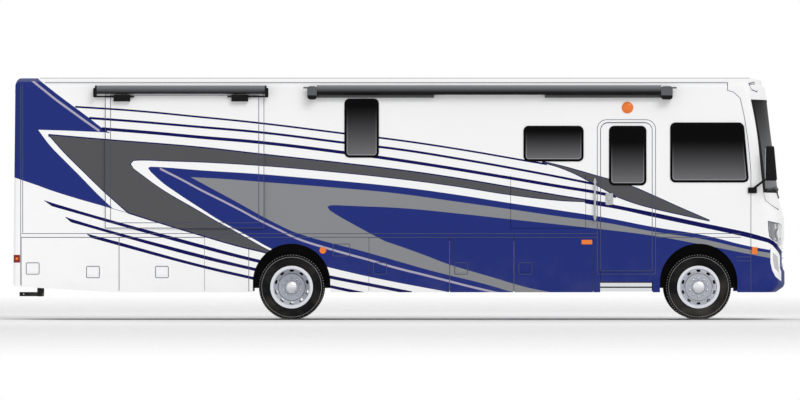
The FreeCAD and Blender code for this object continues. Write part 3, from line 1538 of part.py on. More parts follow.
HELM_LEAN = 140.0
helm_centre = (helm_x, s.seat_y, s.helm_z)
helm_ring = leaned("Part::Torus", "helm_ring", helm_centre, HELM_LEAN)
bind(helm_ring, "Radius1", s.helm_rad)
bind(helm_ring, "Radius2", s.helm_grip)
column_end = block("column_end", dash_x - s.seat_gap, dash_front, ZERO, s.half_wid, s.deck_top, s.roof_top)
node(fuse("steering_wheel", [
    helm_ring,
    leaned_rod("helm_boss", helm_centre, HELM_LEAN, s.helm_boss_len, s.helm_boss),
    cut("helm_column", leaned_rod("column_rod", helm_centre, HELM_LEAN, s.column_len, s.column_rad),
        column_end),
    rod("helm_spokes", "y", (helm_x, s.seat_y - s.helm_rad, s.helm_z), s.helm_rad * 2, s.helm_spoke),
    leaned_rod("helm_spoke_low", helm_centre, HELM_LEAN + 90.0, s.helm_rad, s.helm_spoke),
]))
seat_parts = []
for side, word in ((1, "left"), (-1, "right")):
    y0 = s.seat_y * side - s.seat_half
    y1 = s.seat_y * side + s.seat_half
    seat_parts.append(fuse(f"seat_{word}", [
        block(f"seat_base_{word}", s.seat_x, s.seat_x + s.seat_len, y0, y1,
              s.seat_top - s.seat_thk, s.seat_top),
        block(f"seat_back_{word}", s.seat_x - s.back_thk, s.seat_x, y0, y1,
              s.seat_top - s.seat_thk, s.back_top),
        block(f"seat_post_{word}", s.seat_x + s.post_x, s.seat_x + s.post_x + s.post_len, y0 + s.post_in,
              y1 - s.post_in, s.deck_top, s.seat_top - s.seat_thk)]))
node(gather("cab_seats", seat_parts))

doc.recompute()

# Every object has to be sound before anything is written

faults = []
for thing in doc.Objects:
    if "Invalid" in thing.State or "Error" in thing.State:
        faults.append(f"{thing.Label}: {thing.State}")
for label, thing in nodes.items():
    if thing.Shape.isNull() or not thing.Shape.isValid() or not thing.Shape.Solids:
        faults.append(f"{label}: no sound solid")
if faults:
    raise RuntimeError("; ".join(faults))
for label, thing in nodes.items():
    thing.Shape.exportStep(f"parts/{label}.step")
    print(label, len(thing.Shape.Solids), thing.Shape.BoundBox)
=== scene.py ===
"""Dresses the motorhome: striped paint, tinted glass, tyres, wheel trim, lamps, fittings, cushions and the studio."""
import logging
import math
from dataclasses import dataclass
from enum import Enum

import bpy
import numpy as np
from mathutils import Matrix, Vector
from mathutils.bvhtree import BVHTree


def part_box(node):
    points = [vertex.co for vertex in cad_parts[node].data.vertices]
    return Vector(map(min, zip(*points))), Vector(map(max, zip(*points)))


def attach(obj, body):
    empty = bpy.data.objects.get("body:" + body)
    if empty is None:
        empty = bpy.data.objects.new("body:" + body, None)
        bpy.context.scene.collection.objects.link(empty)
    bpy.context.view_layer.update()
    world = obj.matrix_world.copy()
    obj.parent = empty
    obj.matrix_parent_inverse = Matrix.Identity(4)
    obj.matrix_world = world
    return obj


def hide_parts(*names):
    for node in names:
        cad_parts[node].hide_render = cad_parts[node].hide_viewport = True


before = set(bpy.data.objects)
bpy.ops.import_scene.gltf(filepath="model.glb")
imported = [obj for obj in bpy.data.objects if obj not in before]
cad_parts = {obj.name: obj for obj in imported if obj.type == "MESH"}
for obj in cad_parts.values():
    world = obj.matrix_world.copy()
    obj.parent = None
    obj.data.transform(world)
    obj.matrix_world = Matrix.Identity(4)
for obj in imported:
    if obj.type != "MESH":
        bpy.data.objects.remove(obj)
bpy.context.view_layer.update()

LOG = logging.getLogger("motorhome")

# Side drawing's grid: a unit of it in metres, and where its zero lies in the part's frame
UNIT = 0.0151
GRID_X = 400.1
GRID_Z = 319.9

# Places that several sub-assemblies share, in metres
WALL_Y = 1.2955
SHELL_INNER_Y = 1.26
FRONT_AXLE_X = 4.51
REAR_AXLE_X = -1.637
AXLE_Z = 0.495
FRONT_HUB_Y = 1.225
REAR_HUB_Y = 1.005
WHEEL_SET = 0.145
RIGHT = -1
LEFT = 1

# Where the painted outside begins at the rear, the front and the roof, in metres
REAR_FACE_X = -5.80
FRONT_FACE_X = 5.05
ROOF_EDGE_Z = 3.52

# Width and height of a seam's bead, in metres
BEAD_WIDE = 0.009
BEAD_TALL = 0.003

# What the pale reflection on a glossy coat adds to the colour under it
SHEEN = 0.005

Colour = tuple[float, float, float]
Points = tuple[tuple[float, float], ...]


def along(px: float) -> float:
    """The place along the coach, in metres, of a mark on the side drawing."""
    return (px - GRID_X) * UNIT


def above(py: float) -> float:
    """The height over the ground, in metres, of a mark on the side drawing."""
    return (GRID_Z - py) * UNIT


def linear(red: int, green: int, blue: int) -> Colour:
    """Scene colour of three 0 to 255 screen values: the screen curve undone, channel by channel."""
    value = np.array([red, green, blue]) / 255.0
    curve = np.where(value <= 0.04045, value / 12.92, ((value + 0.055) / 1.055) ** 2.4)
    return tuple(float(channel) for channel in curve)


def under_coat(red: int, green: int, blue: int) -> Colour:
    """Base colour of a gloss paint that shows as three screen values once its coat's reflection is added."""
    return tuple(max(channel - SHEEN, 0.001) for channel in linear(red, green, blue))


class Paint(Enum):
    """Colours of the body paint and its stripes."""

    WHITE = under_coat(251, 251, 251)
    ROYAL = under_coat(41, 53, 124)
    NAVY = under_coat(24, 25, 88)
    CHARCOAL = under_coat(88, 88, 91)
    SILVER = under_coat(141, 142, 145)
    LILAC = under_coat(176, 170, 190)
    LENS = under_coat(198, 200, 204)
    BLACK = linear(5, 5, 6)
    CABIN = under_coat(178, 170, 158)


# The black border printed round a pane
GLASS_BORDER = linear(4, 4, 5)


class Axis(Enum):
    """Line that a turned shape turns about, with the two directions square to it."""

    ALONG = ((1, 0, 0), (0, 1, 0), (0, 0, 1))
    ACROSS = ((0, 1, 0), (0, 0, 1), (1, 0, 0))
    UP = ((0, 0, 1), (1, 0, 0), (0, 1, 0))


# Surfaces


@dataclass
class Surface:
    """Points, and faces as rows of point numbers."""

    points: np.ndarray
    faces: list[list[int]]

    def plus(self, *others: "Surface") -> "Surface":
        """Joins this surface and others into one.

        Args:
            others: the surfaces to add.

        Returns:
            One surface whose faces count on through all the points.
        """
        points, faces, start = [], [], 0
        for part in (self, *others):
            points.append(part.points)
            faces.extend([[number + start for number in face] for face in part.faces])
            start += len(part.points)
        return Surface(np.vstack(points), faces)

    def mirrored(self) -> "Surface":
        """The same surface on the coach's other side: Y changes sign and each face runs backwards."""
        return Surface(self.points * [1, -1, 1], [face[::-1] for face in self.faces])

    def moved(self, x: float = 0.0, y: float = 0.0, z: float = 0.0) -> "Surface":
        """The same surface shifted by x, y and z."""
        return Surface(self.points + [x, y, z], self.faces)


def merged(parts: list[Surface]) -> Surface:
    """Joins a list of surfaces."""
    return parts[0].plus(*parts[1:])


def lattice(points: np.ndarray, ring: bool = False, loop: bool = False, caps: bool = False) -> Surface:
    """Four-sided faces over a grid of points: face (i, j) joins rows i and i + 1, columns j and j + 1.

    Args:
        points: rows by columns by three.
        ring: the last column joins the first.
        loop: the last row joins the first.
        caps: one flat face closes each end row.

    Returns:
        The surface.
    """
    rows, cols = points.shape[:2]
    i, j = np.meshgrid(np.arange(rows if loop else rows - 1), np.arange(cols if ring else cols - 1), indexing="ij")
    below, right = (i + 1) % rows, (j + 1) % cols
    faces = np.stack([i * cols + j, i * cols + right, below * cols + right, below * cols + j], -1).reshape(-1, 4)
    listed = faces.tolist()
    if caps:
        listed += [list(range(cols))[::-1], list(range((rows - 1) * cols, rows * cols))]
    return Surface(points.reshape(-1, 3), listed)


def turned(profile: Points, centre: tuple[float, float, float], axis: Axis, turns: int, ends: bool = True,
           outward: int = 1) -> Surface:
    """A profile turned about an axis: centre + rise times the axis + radius times the unit circle.

    Args:
        profile: pairs of radius and rise, from the back to the front.
        centre: a point on the axis.
        axis: the line turned about.
        turns: steps in the circle.
        ends: flat faces close the two ends; otherwise the profile is a closed loop.
        outward: 1 if rise grows along the axis, -1 if it grows against it.

    Returns:
        The surface, facing outwards.
    """
    line, first, second = (np.array(direction, float) for direction in axis.value)
    radius, rise = np.array(profile, float).T
    angle = np.linspace(0, 2 * math.pi, turns, endpoint=False)
    circle = np.cos(angle)[None, :, None] * first + np.sin(angle)[None, :, None] * second
    points = np.array(centre) + outward * rise[:, None, None] * line + radius[:, None, None] * circle
    made = lattice(points, ring=True, loop=not ends, caps=ends)
    return made if outward > 0 else Surface(made.points, [face[::-1] for face in made.faces])


def dish(profile: Points, centre: np.ndarray, normal: np.ndarray, turns: int = 40) -> Surface:
    """A profile turned about any line: centre + rise times the normal + radius times the circle square to it."""
    normal = np.array(normal, float) / np.linalg.norm(normal)
    first = np.cross((0, 0, 1.0), normal)
    first /= np.linalg.norm(first)
    second = np.cross(normal, first)
    radius, rise = np.array(profile, float).T
    angle = np.linspace(0, 2 * math.pi, turns, endpoint=False)
    circle = np.cos(angle)[None, :, None] * first + np.sin(angle)[None, :, None] * second
    points = np.array(centre) + rise[:, None, None] * normal + radius[:, None, None] * circle
    return lattice(points, ring=True, caps=True)


def swept(path: np.ndarray, section: Points, normal: tuple[float, float, float], closed: bool = False) -> Surface:
    """A section carried along a flat path, mitred at its corners: path point + a times the side + b times the normal.

    Args:
        path: points in order.
        section: pairs a, b, where a runs to the path's side and b along the normal.
        normal: direction square to the path's plane.
        closed: the path's last point joins its first.

    Returns:
        The surface, with capped ends if the path is open.
    """
    path, normal = np.array(path, float), np.array(normal, float)
    after = np.roll(path, -1, 0) - path
    if not closed:
        after[-1] = path[-1] - path[-2]
    before = np.roll(after, 1, 0)
    if not closed:
        before[0] = after[0]
    after /= np.linalg.norm(after, axis=1)[:, None]
    before /= np.linalg.norm(before, axis=1)[:, None]
    side_after, side_before = np.cross(after, normal), np.cross(before, normal)
    side = side_after + side_before
    side /= np.maximum((side * side_after).sum(1), 0.3)[:, None]
    a, b = np.array(section, float).T
    points = path[:, None] + a[None, :, None] * side[:, None] + b[None, :, None] * normal
    return lattice(points[:, ::-1], ring=True, loop=closed, caps=not closed)


def rod(start: tuple[float, float, float], end: tuple[float, float, float], radius: float, turns: int = 16) -> Surface:
    """A round rod with softly broken ends between two points."""
    start, end = np.array(start, float), np.array(end, float)
    line = (end - start) / np.linalg.norm(end - start)
    helper = np.array([0, 0, 1.0]) if abs(line[2]) < 0.9 else np.array([1.0, 0, 0])
    first = np.cross(helper, line)
    first /= np.linalg.norm(first)
    second = np.cross(line, first)
    soft = min(0.25 * radius, 0.004)
    steps = [(radius - soft, start), (radius, start + line * soft), (radius, end - line * soft), (radius - soft, end)]
    angle = np.linspace(0, 2 * math.pi, turns, endpoint=False)[:, None]
    rows = [place + size * (np.cos(angle) * first + np.sin(angle) * second) for size, place in steps]
    return lattice(np.array(rows), ring=True, caps=True)


def rounded_loop(x0: float, z0: float, x1: float, z1: float, radius: float, steps: int = 6) -> np.ndarray:
    """Outline of a rounded rectangle: a quarter circle about each corner's centre, anticlockwise in x and z."""
    centres = [(x1 - radius, z0 + radius), (x1 - radius, z1 - radius), (x0 + radius, z1 - radius),
               (x0 + radius, z0 + radius)]
    quarter = np.linspace(-math.pi / 2, 0, steps)
    arcs = []
    for number, centre in enumerate(centres):
        turn = quarter + number * math.pi / 2
        arcs.append(np.array(centre) + radius * np.stack([np.cos(turn), np.sin(turn)], 1))
    return np.vstack(arcs)


def plate(outline: np.ndarray, side: int, inner: float, outer: float, soft: float = 0.002) -> Surface:
    """A flat plate on the coach's side whose outer edge is broken by `soft`.

    Args:
        outline: loop of x and z, anticlockwise.
        side: which side of the coach.
        inner: distance of its back from the middle.
        outer: distance of its face from the middle.
        soft: how far the outer edge is broken.

    Returns:
        A closed surface: the outline at three depths, the last drawn in towards the middle.
    """
    outline = np.array(outline, float)
    middle = (outline.min(0) + outline.max(0)) / 2
    half = (outline.max(0) - outline.min(0)) / 2
    rows = []
    for depth, shrink in ((inner, 0.0), (outer - soft, 0.0), (outer, soft)):
        loop = middle + (outline - middle) * (1 - shrink / half)
        rows.append(np.stack([loop[:, 0], np.full(len(loop), -depth), loop[:, 1]], 1))
    made = lattice(np.array(rows), ring=True, caps=True)
    return made if side == RIGHT else made.mirrored()


def on_wall(path: np.ndarray, side: int, face: float) -> np.ndarray:
    """Puts x and z pairs on the side plane that lies `face` from the middle."""
    path = np.array(path, float)
    return np.stack([path[:, 0], np.full(len(path), side * face), path[:, 1]], 1)


def bead(width: float, height: float) -> Points:
    """Section of a raised bead: half a flattened circle with its foot sunk a little in the wall."""
    turn = np.linspace(0, math.pi, 5)
    arch = np.stack([np.cos(turn) * width / 2, np.sin(turn) * height], 1)
    foot = [(-width / 2, -0.002), (width / 2, -0.002)]
    return tuple(map(tuple, arch.tolist())) + tuple(foot)


def outlined(loop: np.ndarray, side: int, face: float = WALL_Y) -> Surface:
    """A seam's bead round a closed loop of x and z on the coach's side."""
    return swept(on_wall(loop, side, face), bead(BEAD_WIDE, BEAD_TALL), (0, side, 0), closed=True)


# Shader graphs


class Graph:
    """Adds nodes to one tree and joins them."""

    def __init__(self, tree: bpy.types.NodeTree) -> None:
        """Keeps the tree and empties it."""
        self.tree = tree
        tree.nodes.clear()

    def add(self, kind: str, inputs: dict | None = None, **settings: object) -> bpy.types.Node:
        """Adds a node.

        Args:
            kind: node type's identifier.
            inputs: values or sockets, by input name or number.
            settings: properties set on the node.

        Returns:
            The new node.
        """
        made = self.tree.nodes.new(kind)
        for name, value in settings.items():
            setattr(made, name, value)
        for name, value in (inputs or {}).items():
            self.feed(made.inputs[name], value)
        return made

    def feed(self, socket: bpy.types.NodeSocket, value: object) -> None:
        """Joins a socket to another one, or sets its value."""
        if isinstance(value, bpy.types.NodeSocket):
            self.tree.links.new(value, socket)
        elif isinstance(value, tuple) and len(value) == 3 and socket.type == "RGBA":
            socket.default_value = (*value, 1.0)
        else:
            socket.default_value = value

    def math(self, operation: str, a: object, b: object = 0.0, c: object = 0.0) -> bpy.types.NodeSocket:
        """One sum on up to three numbers."""
        return self.add("ShaderNodeMath", {0: a, 1: b, 2: c}, operation=operation).outputs[0]

    def blend(self, share: object, low: object, high: object) -> bpy.types.NodeSocket:
        """Colour between two colours."""
        made = self.add("ShaderNodeMix", data_type="RGBA")
        self.feed(made.inputs["Factor"], share)
        self.feed(made.inputs[6], low)
        self.feed(made.inputs[7], high)
        return made.outputs[2]

    def remap(self, value: object, low: float, high: float, to_low: float = 0.0,
              to_high: float = 1.0) -> bpy.types.NodeSocket:
        """Straight-line map of a number from one range to another, held at its ends."""
        limits = {"Value": value, "From Min": low, "From Max": high, "To Min": to_low, "To Max": to_high}
        return self.add("ShaderNodeMapRange", limits).outputs[0]


def new_group(name: str, ins: dict[str, str], outs: dict[str, str]) -> tuple[bpy.types.NodeTree, Graph, bpy.types.Node,
                                                                             bpy.types.Node]:
    """Makes an empty shader group.

    Args:
        name: the group's name.
        ins: input names and socket types.
        outs: output names and socket types.

    Returns:
        The tree, its graph, its input node and its output node.
    """
    tree = bpy.data.node_groups.new(name, "ShaderNodeTree")
    graph = Graph(tree)
    for label, kind in ins.items():
        tree.interface.new_socket(label, in_out="INPUT", socket_type=kind)
    for label, kind in outs.items():
        tree.interface.new_socket(label, in_out="OUTPUT", socket_type=kind)
    return tree, graph, graph.add("NodeGroupInput"), graph.add("NodeGroupOutput")


def grain_group() -> bpy.types.NodeTree:
    """Fine grain: two sizes of noise vary the colour, the roughness and the height."""
    tree, graph, given, out = new_group(
        "fine_grain",
        {"Colour": "NodeSocketColor", "Scale": "NodeSocketFloat", "Tone Spread": "NodeSocketFloat",
         "Roughness": "NodeSocketFloat", "Roughness Spread": "NodeSocketFloat"},
        {"Colour": "NodeSocketColor", "Roughness": "NodeSocketFloat", "Height": "NodeSocketFloat"})
    place = graph.add("ShaderNodeTexCoord").outputs["Object"]
    fine = graph.add("ShaderNodeTexNoise", {"Vector": place, "Scale": given.outputs["Scale"], "Detail": 3.0})
    broad = graph.add("ShaderNodeTexNoise", {"Vector": place, "Scale": 1.3, "Detail": 2.0})
    swing = graph.math("SUBTRACT", broad.outputs[0], 0.5)
    tone = graph.math("MULTIPLY_ADD", swing, given.outputs["Tone Spread"], 1.0)
    toned = graph.add("ShaderNodeVectorMath", {0: given.outputs["Colour"]}, operation="SCALE")
    graph.feed(toned.inputs["Scale"], tone)
    rough = graph.math("MULTIPLY_ADD", graph.math("SUBTRACT", fine.outputs[0], 0.5), given.outputs["Roughness Spread"],
                       given.outputs["Roughness"])
    graph.feed(out.inputs["Colour"], toned.outputs[0])
    graph.feed(out.inputs["Roughness"], rough)
    graph.feed(out.inputs["Height"], fine.outputs[0])
    return tree


def dust_group() -> bpy.types.NodeTree:
    """Road dust: a thin film low down and in patches, paler and rougher than what it lies on."""
    tree, graph, given, out = new_group(
        "road_dust",
        {"Colour": "NodeSocketColor", "Roughness": "NodeSocketFloat", "Amount": "NodeSocketFloat"},
        {"Colour": "NodeSocketColor", "Roughness": "NodeSocketFloat"})
    place = graph.add("ShaderNodeTexCoord").outputs["Object"]
    height = graph.add("ShaderNodeSeparateXYZ", {0: place}).outputs["Z"]
    patch = graph.add("ShaderNodeTexNoise", {"Vector": place, "Scale": 3.1, "Detail": 5.0}).outputs[0]
    low = graph.remap(height, 0.2, 1.1, 1.0, 0.0)
    film = graph.math("MULTIPLY", graph.math("MULTIPLY", low, graph.remap(patch, 0.42, 0.7)), given.outputs["Amount"])
    graph.feed(out.inputs["Colour"], graph.blend(film, given.outputs["Colour"], linear(168, 160, 148)))
    graph.feed(out.inputs["Roughness"], graph.math("MULTIPLY_ADD", film, 0.5, given.outputs["Roughness"]))
    return tree


def pane_group() -> bpy.types.NodeTree:
    """A window pane's tone: a painted reflection, grey at the foot and dark above, a pale painted highlight just inside
    its outline, and black near its outline.

    The depth inside the rounded outline is its radius less the distance past the lines through the corners' centres.
    """
    numbers = ("Across", "Up", "Middle Across", "Middle Up", "Half Across", "Half Up", "Round", "Rim", "Dark At",
               "Fall")
    tree, graph, given, out = new_group(
        "pane_tone", {**{label: "NodeSocketFloat" for label in numbers}, "Glass": "NodeSocketColor",
                      "Reflected Foot": "NodeSocketColor"},
        {"Colour": "NodeSocketColor"})
    past = []
    for label in ("Across", "Up"):
        off = graph.math("ABSOLUTE", graph.math("SUBTRACT", given.outputs[label], given.outputs[f"Middle {label}"]))
        past.append(graph.math("ADD", graph.math("SUBTRACT", off, given.outputs[f"Half {label}"]),
                               given.outputs["Round"]))
    wide, tall = (graph.math("MAXIMUM", value, 0.0) for value in past)
    corner = graph.math("SQRT", graph.math("MULTIPLY_ADD", wide, wide, graph.math("MULTIPLY", tall, tall)))
    within = graph.math("MINIMUM", graph.math("MAXIMUM", *past), 0.0)
    depth = graph.math("SUBTRACT", given.outputs["Round"], graph.math("ADD", corner, within))
    foot = graph.math("SUBTRACT", given.outputs["Middle Up"], given.outputs["Half Up"])
    # Painted reflection: the glass is grey at its foot and darkens up to the height given
    share = graph.remap(given.outputs["Up"], foot, given.outputs["Dark At"], 1.0, 0.0)
    share = graph.math("POWER", share, given.outputs["Fall"])
    tone = graph.blend(share, given.outputs["Glass"], given.outputs["Reflected Foot"])
    # Painted highlight: a pale band just inside the black rim, strongest low down
    painted_gleam = graph.math("LESS_THAN", depth, graph.math("ADD", given.outputs["Rim"], 0.012))
    tone = graph.blend(graph.math("MULTIPLY", painted_gleam, share), tone, linear(150, 150, 152))
    rim = graph.math("LESS_THAN", depth, given.outputs["Rim"])
    graph.feed(out.inputs["Colour"], graph.blend(rim, tone, GLASS_BORDER))
    return tree


@dataclass(frozen=True)
class Stripe:
    """A painted band between two edges, in units of the side drawing, from the rear to the front.

    Its outline is how far a navy border stands beyond it on both edges, and `inner` the least distance from the
    coach's middle, in metres, at which it is painted.
    """

    name: str
    paint: Paint
    upper: Points
    lower: Points
    outline: float = 0.0
    inner: float = 0.0

    def reach(self) -> tuple[float, float]:
        """First and last place along the coach."""
        places = [x for x, _ in self.upper + self.lower]
        return min(places), max(places)


def line(name: str, paint: Paint, thick: float, *centre: tuple[float, float], inner: float = 0.0) -> Stripe:
    """A pinstripe: a band of even height about a centre line."""
    upper = tuple((x, z - thick / 2) for x, z in centre)
    lower = tuple((x, z + thick / 2) for x, z in centre)
    return Stripe(name, paint, upper, lower, inner=inner)


# Edges of the stripes, measured on the side drawing. Later bands are painted over earlier ones.
STRIPES = (
    Stripe("rear_block", Paint.ROYAL,
           ((0, 60), (36, 60), (36.2, 77.6), (52, 90), (65, 100), (74.2, 106.8), (89.3, 118), (102.5, 128.2),
            (111, 133.4)),
           ((0, 176.6), (14.6, 177.5), (38.1, 185.6), (38.3, 129.8), (70, 130.8), (106, 132.4), (111, 133.5))),
    Stripe("rear_block_foot", Paint.ROYAL,
           ((35, 129.9), (38.4, 130), (50.6, 146), (66, 161.8), (82.1, 178), (96.8, 193.2), (112.9, 208.4),
            (128, 212.6)),
           ((35, 184.4), (50, 190), (80, 199.4), (104.6, 206.4), (112.9, 208.9), (128, 213))),
    line("rear_sweep", Paint.LILAC, 2.7, (28, 77.2), (44, 90), (56.5, 100), (70.2, 110), (84, 120), (99.6, 131),
         inner=1.15),
    line("pin_1", Paint.NAVY, 1.9, (75.3, 106.8), (130, 110.4), (200, 117), (259, 123), (344, 133.5), (400, 140.4),
         (460, 149.4), (523.5, 160.3), (547, 164.3)),
    line("pin_2", Paint.NAVY, 2.4, (89.3, 118), (130, 121), (200, 127), (259, 132.2), (344, 142.7), (400, 149.5),
         (460, 159), (522, 170), (560, 177.2), (594, 184)),
    line("pin_3", Paint.NAVY, 3.2, (102, 128.8), (150, 132.6), (200, 137.2), (259, 142.3), (344, 152.6), (400, 160.3),
         (510, 178), (560, 186.5), (594, 192), (616, 196.5)),
    Stripe("low_pin_1", Paint.NAVY,
           ((44.5, 200.2), (52, 202.7), (200, 244.1), (253, 258.1), (329, 275.1), (370, 283.1), (412, 291.3)),
           ((44.5, 200.8), (52, 206.3), (200, 247.9), (253, 261.5), (329, 278.5), (370, 286.5), (412, 294.7))),
    Stripe("low_pin_2", Paint.NAVY, ((65.6, 216.8), (71, 218.7), (200, 254.2), (251, 266.9), (329, 284.7),
                                     (372, 293.7)),
           ((65.6, 217.5), (71, 222.3), (200, 258), (251, 270.1), (329, 287.7), (372, 296.9))),
    Stripe("low_pin_3", Paint.NAVY, ((87.2, 233.8), (91.4, 234.8), (200, 264.3), (251, 276.3), (318, 291.7)),
           ((87.2, 234.5), (91.4, 238), (200, 267.3), (251, 279.3), (318, 294.5))),
    Stripe("charcoal_sweep", Paint.CHARCOAL,
           ((49.7, 135.3), (102, 139.8), (200, 147.8), (259, 154.4), (330, 162.2), (400, 170.5), (455, 178.4),
            (510, 187.6),
            (560, 196.2), (594, 201.6), (612, 204.6)),
           ((49.7, 135.5), (64.5, 152.1), (82.1, 169.6), (102.6, 189.5), (117.3, 202.7), (128.2, 212.4), (164, 223.6),
            (200, 234.5), (240.3, 246.1), (264, 251.8), (300, 262), (400, 262), (594, 262), (612, 204.8)), 1.3),
    Stripe("white_sweep", Paint.WHITE,
           ((131.4, 163.4), (133.8, 161), (140.8, 160.6), (165, 161.4), (200, 162.5), (259, 165.9), (330, 172),
            (400, 179.4),
            (455, 186.6), (510, 195.2), (560, 201), (594, 203), (620, 207.5), (655, 215.3), (700, 225.1), (750, 236),
            (770.8, 241.5)),
           ((131.4, 164.4), (131.9, 167), (142.1, 174.6), (154.8, 184), (168.9, 193.3), (180.4, 200), (198, 210),
            (215, 220),
            (233.2, 230), (251, 240), (266, 248.4), (276, 253), (300, 262), (400, 262), (594, 262), (770.8, 262)), 0.8),
    Stripe("royal_field", Paint.ROYAL,
           ((148.2, 167.9), (149.2, 167), (150.4, 166.7), (158.7, 167), (200, 170.2), (259, 174), (300, 177.4),
            (330, 180),
            (400, 187), (455, 194.4), (510, 203), (560, 210.4), (600, 216.6), (655, 227.2), (700, 234.4), (750, 246.3),
            (771.8, 250.2), (772.4, 243), (784, 252), (790, 256)),
           ((148.2, 168.1), (151, 172.1), (163.8, 183.6), (174, 190.8), (188, 200.2), (203.3, 210), (219, 220),
            (237, 230),
            (256, 240.3), (268, 247), (280, 252.6), (300, 260), (329, 267.4), (380, 279), (448, 292), (470, 300),
            (500, 330), (790, 330))),
    line("field_pin", Paint.LILAC, 2.2, (160, 168.6), (182.5, 180), (201, 190), (221, 200), (240.5, 210), (259, 220),
         (279.5, 230), (298.5, 239), (331.3, 249.4), (351.4, 255.1), (368.7, 259.8), (395.5, 267.7), (424, 274.8),
         (450, 281.4),
         (472, 287), (492.4, 291.8), (510, 296)),
    Stripe("silver_sweep", Paint.SILVER,
           ((191.2, 177.2), (222, 178.8), (259, 181.7), (300, 184.8), (330, 187.2), (380.4, 191.6), (400, 193.8),
            (455, 201.4), (510, 209.2), (560, 216.5), (600, 221.8), (655, 231.8), (700, 238.6), (750, 249.7),
            (771.8, 253.2)),
           ((191.2, 177.4), (235, 201), (280.6, 225.8), (298.5, 233.5), (370, 253.2), (400, 261.8), (424, 268.7),
            (450, 275.4), (477, 281.9), (497.6, 287.6), (512.3, 292), (560, 300), (655, 300), (700, 300),
            (771.8, 300))),
    Stripe("royal_leaf", Paint.ROYAL,
           ((327.8, 206.8), (329, 205.6), (333, 205.2), (346, 205.6), (360, 206.2), (400, 208), (461, 213.8),
            (510, 219.2),
            (560, 224.6), (600, 229), (655, 236), (700, 244.2), (751, 254.4), (772, 258.4)),
           ((327.8, 207.4), (328.9, 209.6), (332.3, 212), (340, 216.8), (349.5, 222.1), (368.7, 232.6), (385, 241.2),
            (395.5, 244.7), (424, 254.9), (449.6, 264.6), (468, 270.2), (492.5, 277.3), (512.9, 283.5), (530, 288.1),
            (548.7, 291.8), (570, 300), (600, 330), (772, 330))),
    Stripe("corner_bezel", Paint.WHITE,
           ((770.6, 243), (779, 252.5), (781.5, 257), (783, 264), (783.2, 282)),
           ((770.6, 262), (772.3, 270), (776, 277), (783.2, 282.2)), inner=0.85),
    Stripe("corner_lens", Paint.LENS, ((773, 252.4), (777.9, 256.6), (779.8, 272)),
           ((773, 259), (774.7, 268), (779.8, 273.4)), inner=0.9),
    Stripe("screen_surround", Paint.BLACK,
           ((751, 99.4), (768.9, 99.6), (772, 120), (774, 140), (776, 160), (778, 180), (780.6, 192.8)),
           ((751, 100), (755, 120), (758, 140), (760, 160), (762, 180), (763.4, 192.6), (780.6, 193))),
    Stripe("front_sweep", Paint.CHARCOAL,
           ((543, 162), (560, 165.8), (594, 175.3), (629.6, 185.8), (655, 196.5), (680.6, 208), (708.7, 220.2)),
           ((543, 162.2), (563, 168.4), (594, 183.5), (617, 196.5), (635, 203), (655, 208.5), (680, 214.2),
            (708.7, 220.4)), 0.9),
    Stripe("front_band", Paint.NAVY,
           ((585, 200), (600, 202), (619, 205.6), (655, 212.8), (700, 222.4), (725, 227.5), (750, 233), (770, 238.8),
            (776, 243), (784, 252), (790, 257)),
           ((585, 203.4), (600, 206), (619, 209.4), (655, 217.4), (700, 227), (725, 232.3), (750, 238), (768, 242.6),
            (773, 245.6), (779, 252), (786, 262), (790, 266))),
)


def corners(edge: Points, limit: float = 9.0) -> np.ndarray:
    """True at both ends of an edge, and where its heading changes by more than `limit` degrees."""
    run = np.diff(np.array(edge), axis=0)
    heading = np.degrees(np.arctan2(run[:, 1], run[:, 0]))
    sharp = np.ones(len(edge), bool)
    sharp[1:-1] = np.abs(np.diff(heading)) > limit
    return sharp


def stripe_mask(graph: Graph, px: bpy.types.NodeSocket, py: bpy.types.NodeSocket, stripe: Stripe,
                grow: float) -> bpy.types.NodeSocket:
    """1 inside a band and 0 outside it: both edges are curves over the band's own length.

    Args:
        graph: where the nodes go.
        px: place along the drawing.
        py: place down the drawing.
        stripe: the band.
        grow: how far both edges are moved outwards.

    Returns:
        The mask's socket.
    """
    first, last = stripe.reach()
    levels = [z for _, z in stripe.upper + stripe.lower]
    floor, ceiling = min(levels), max(levels)
    share = graph.remap(px, first, last)
    heights = []
    for edge in (stripe.upper, stripe.lower):
        node = graph.add("ShaderNodeFloatCurve", {"Value": share})
        curve = node.mapping.curves[0]
        places = [((x - first) / (last - first), (z - floor) / (ceiling - floor)) for x, z in edge]
        curve.points[0].location, curve.points[1].location = places[0], places[-1]
        for place in places[1:-1]:
            curve.points.new(*place)
        for point, sharp in zip(curve.points, corners(edge)):
            point.handle_type = "VECTOR" if sharp else "AUTO"
        node.mapping.update()
        heights.append(graph.math("MULTIPLY_ADD", node.outputs[0], ceiling - floor, floor))
    under = graph.math("GREATER_THAN", py, graph.math("SUBTRACT", heights[0], grow))
    over = graph.math("LESS_THAN", py, graph.math("ADD", heights[1], grow))
    after = graph.math("GREATER_THAN", px, first - grow)
    before = graph.math("LESS_THAN", px, last + grow)
    return graph.math("MULTIPLY", graph.math("MULTIPLY", under, over), graph.math("MULTIPLY", after, before))


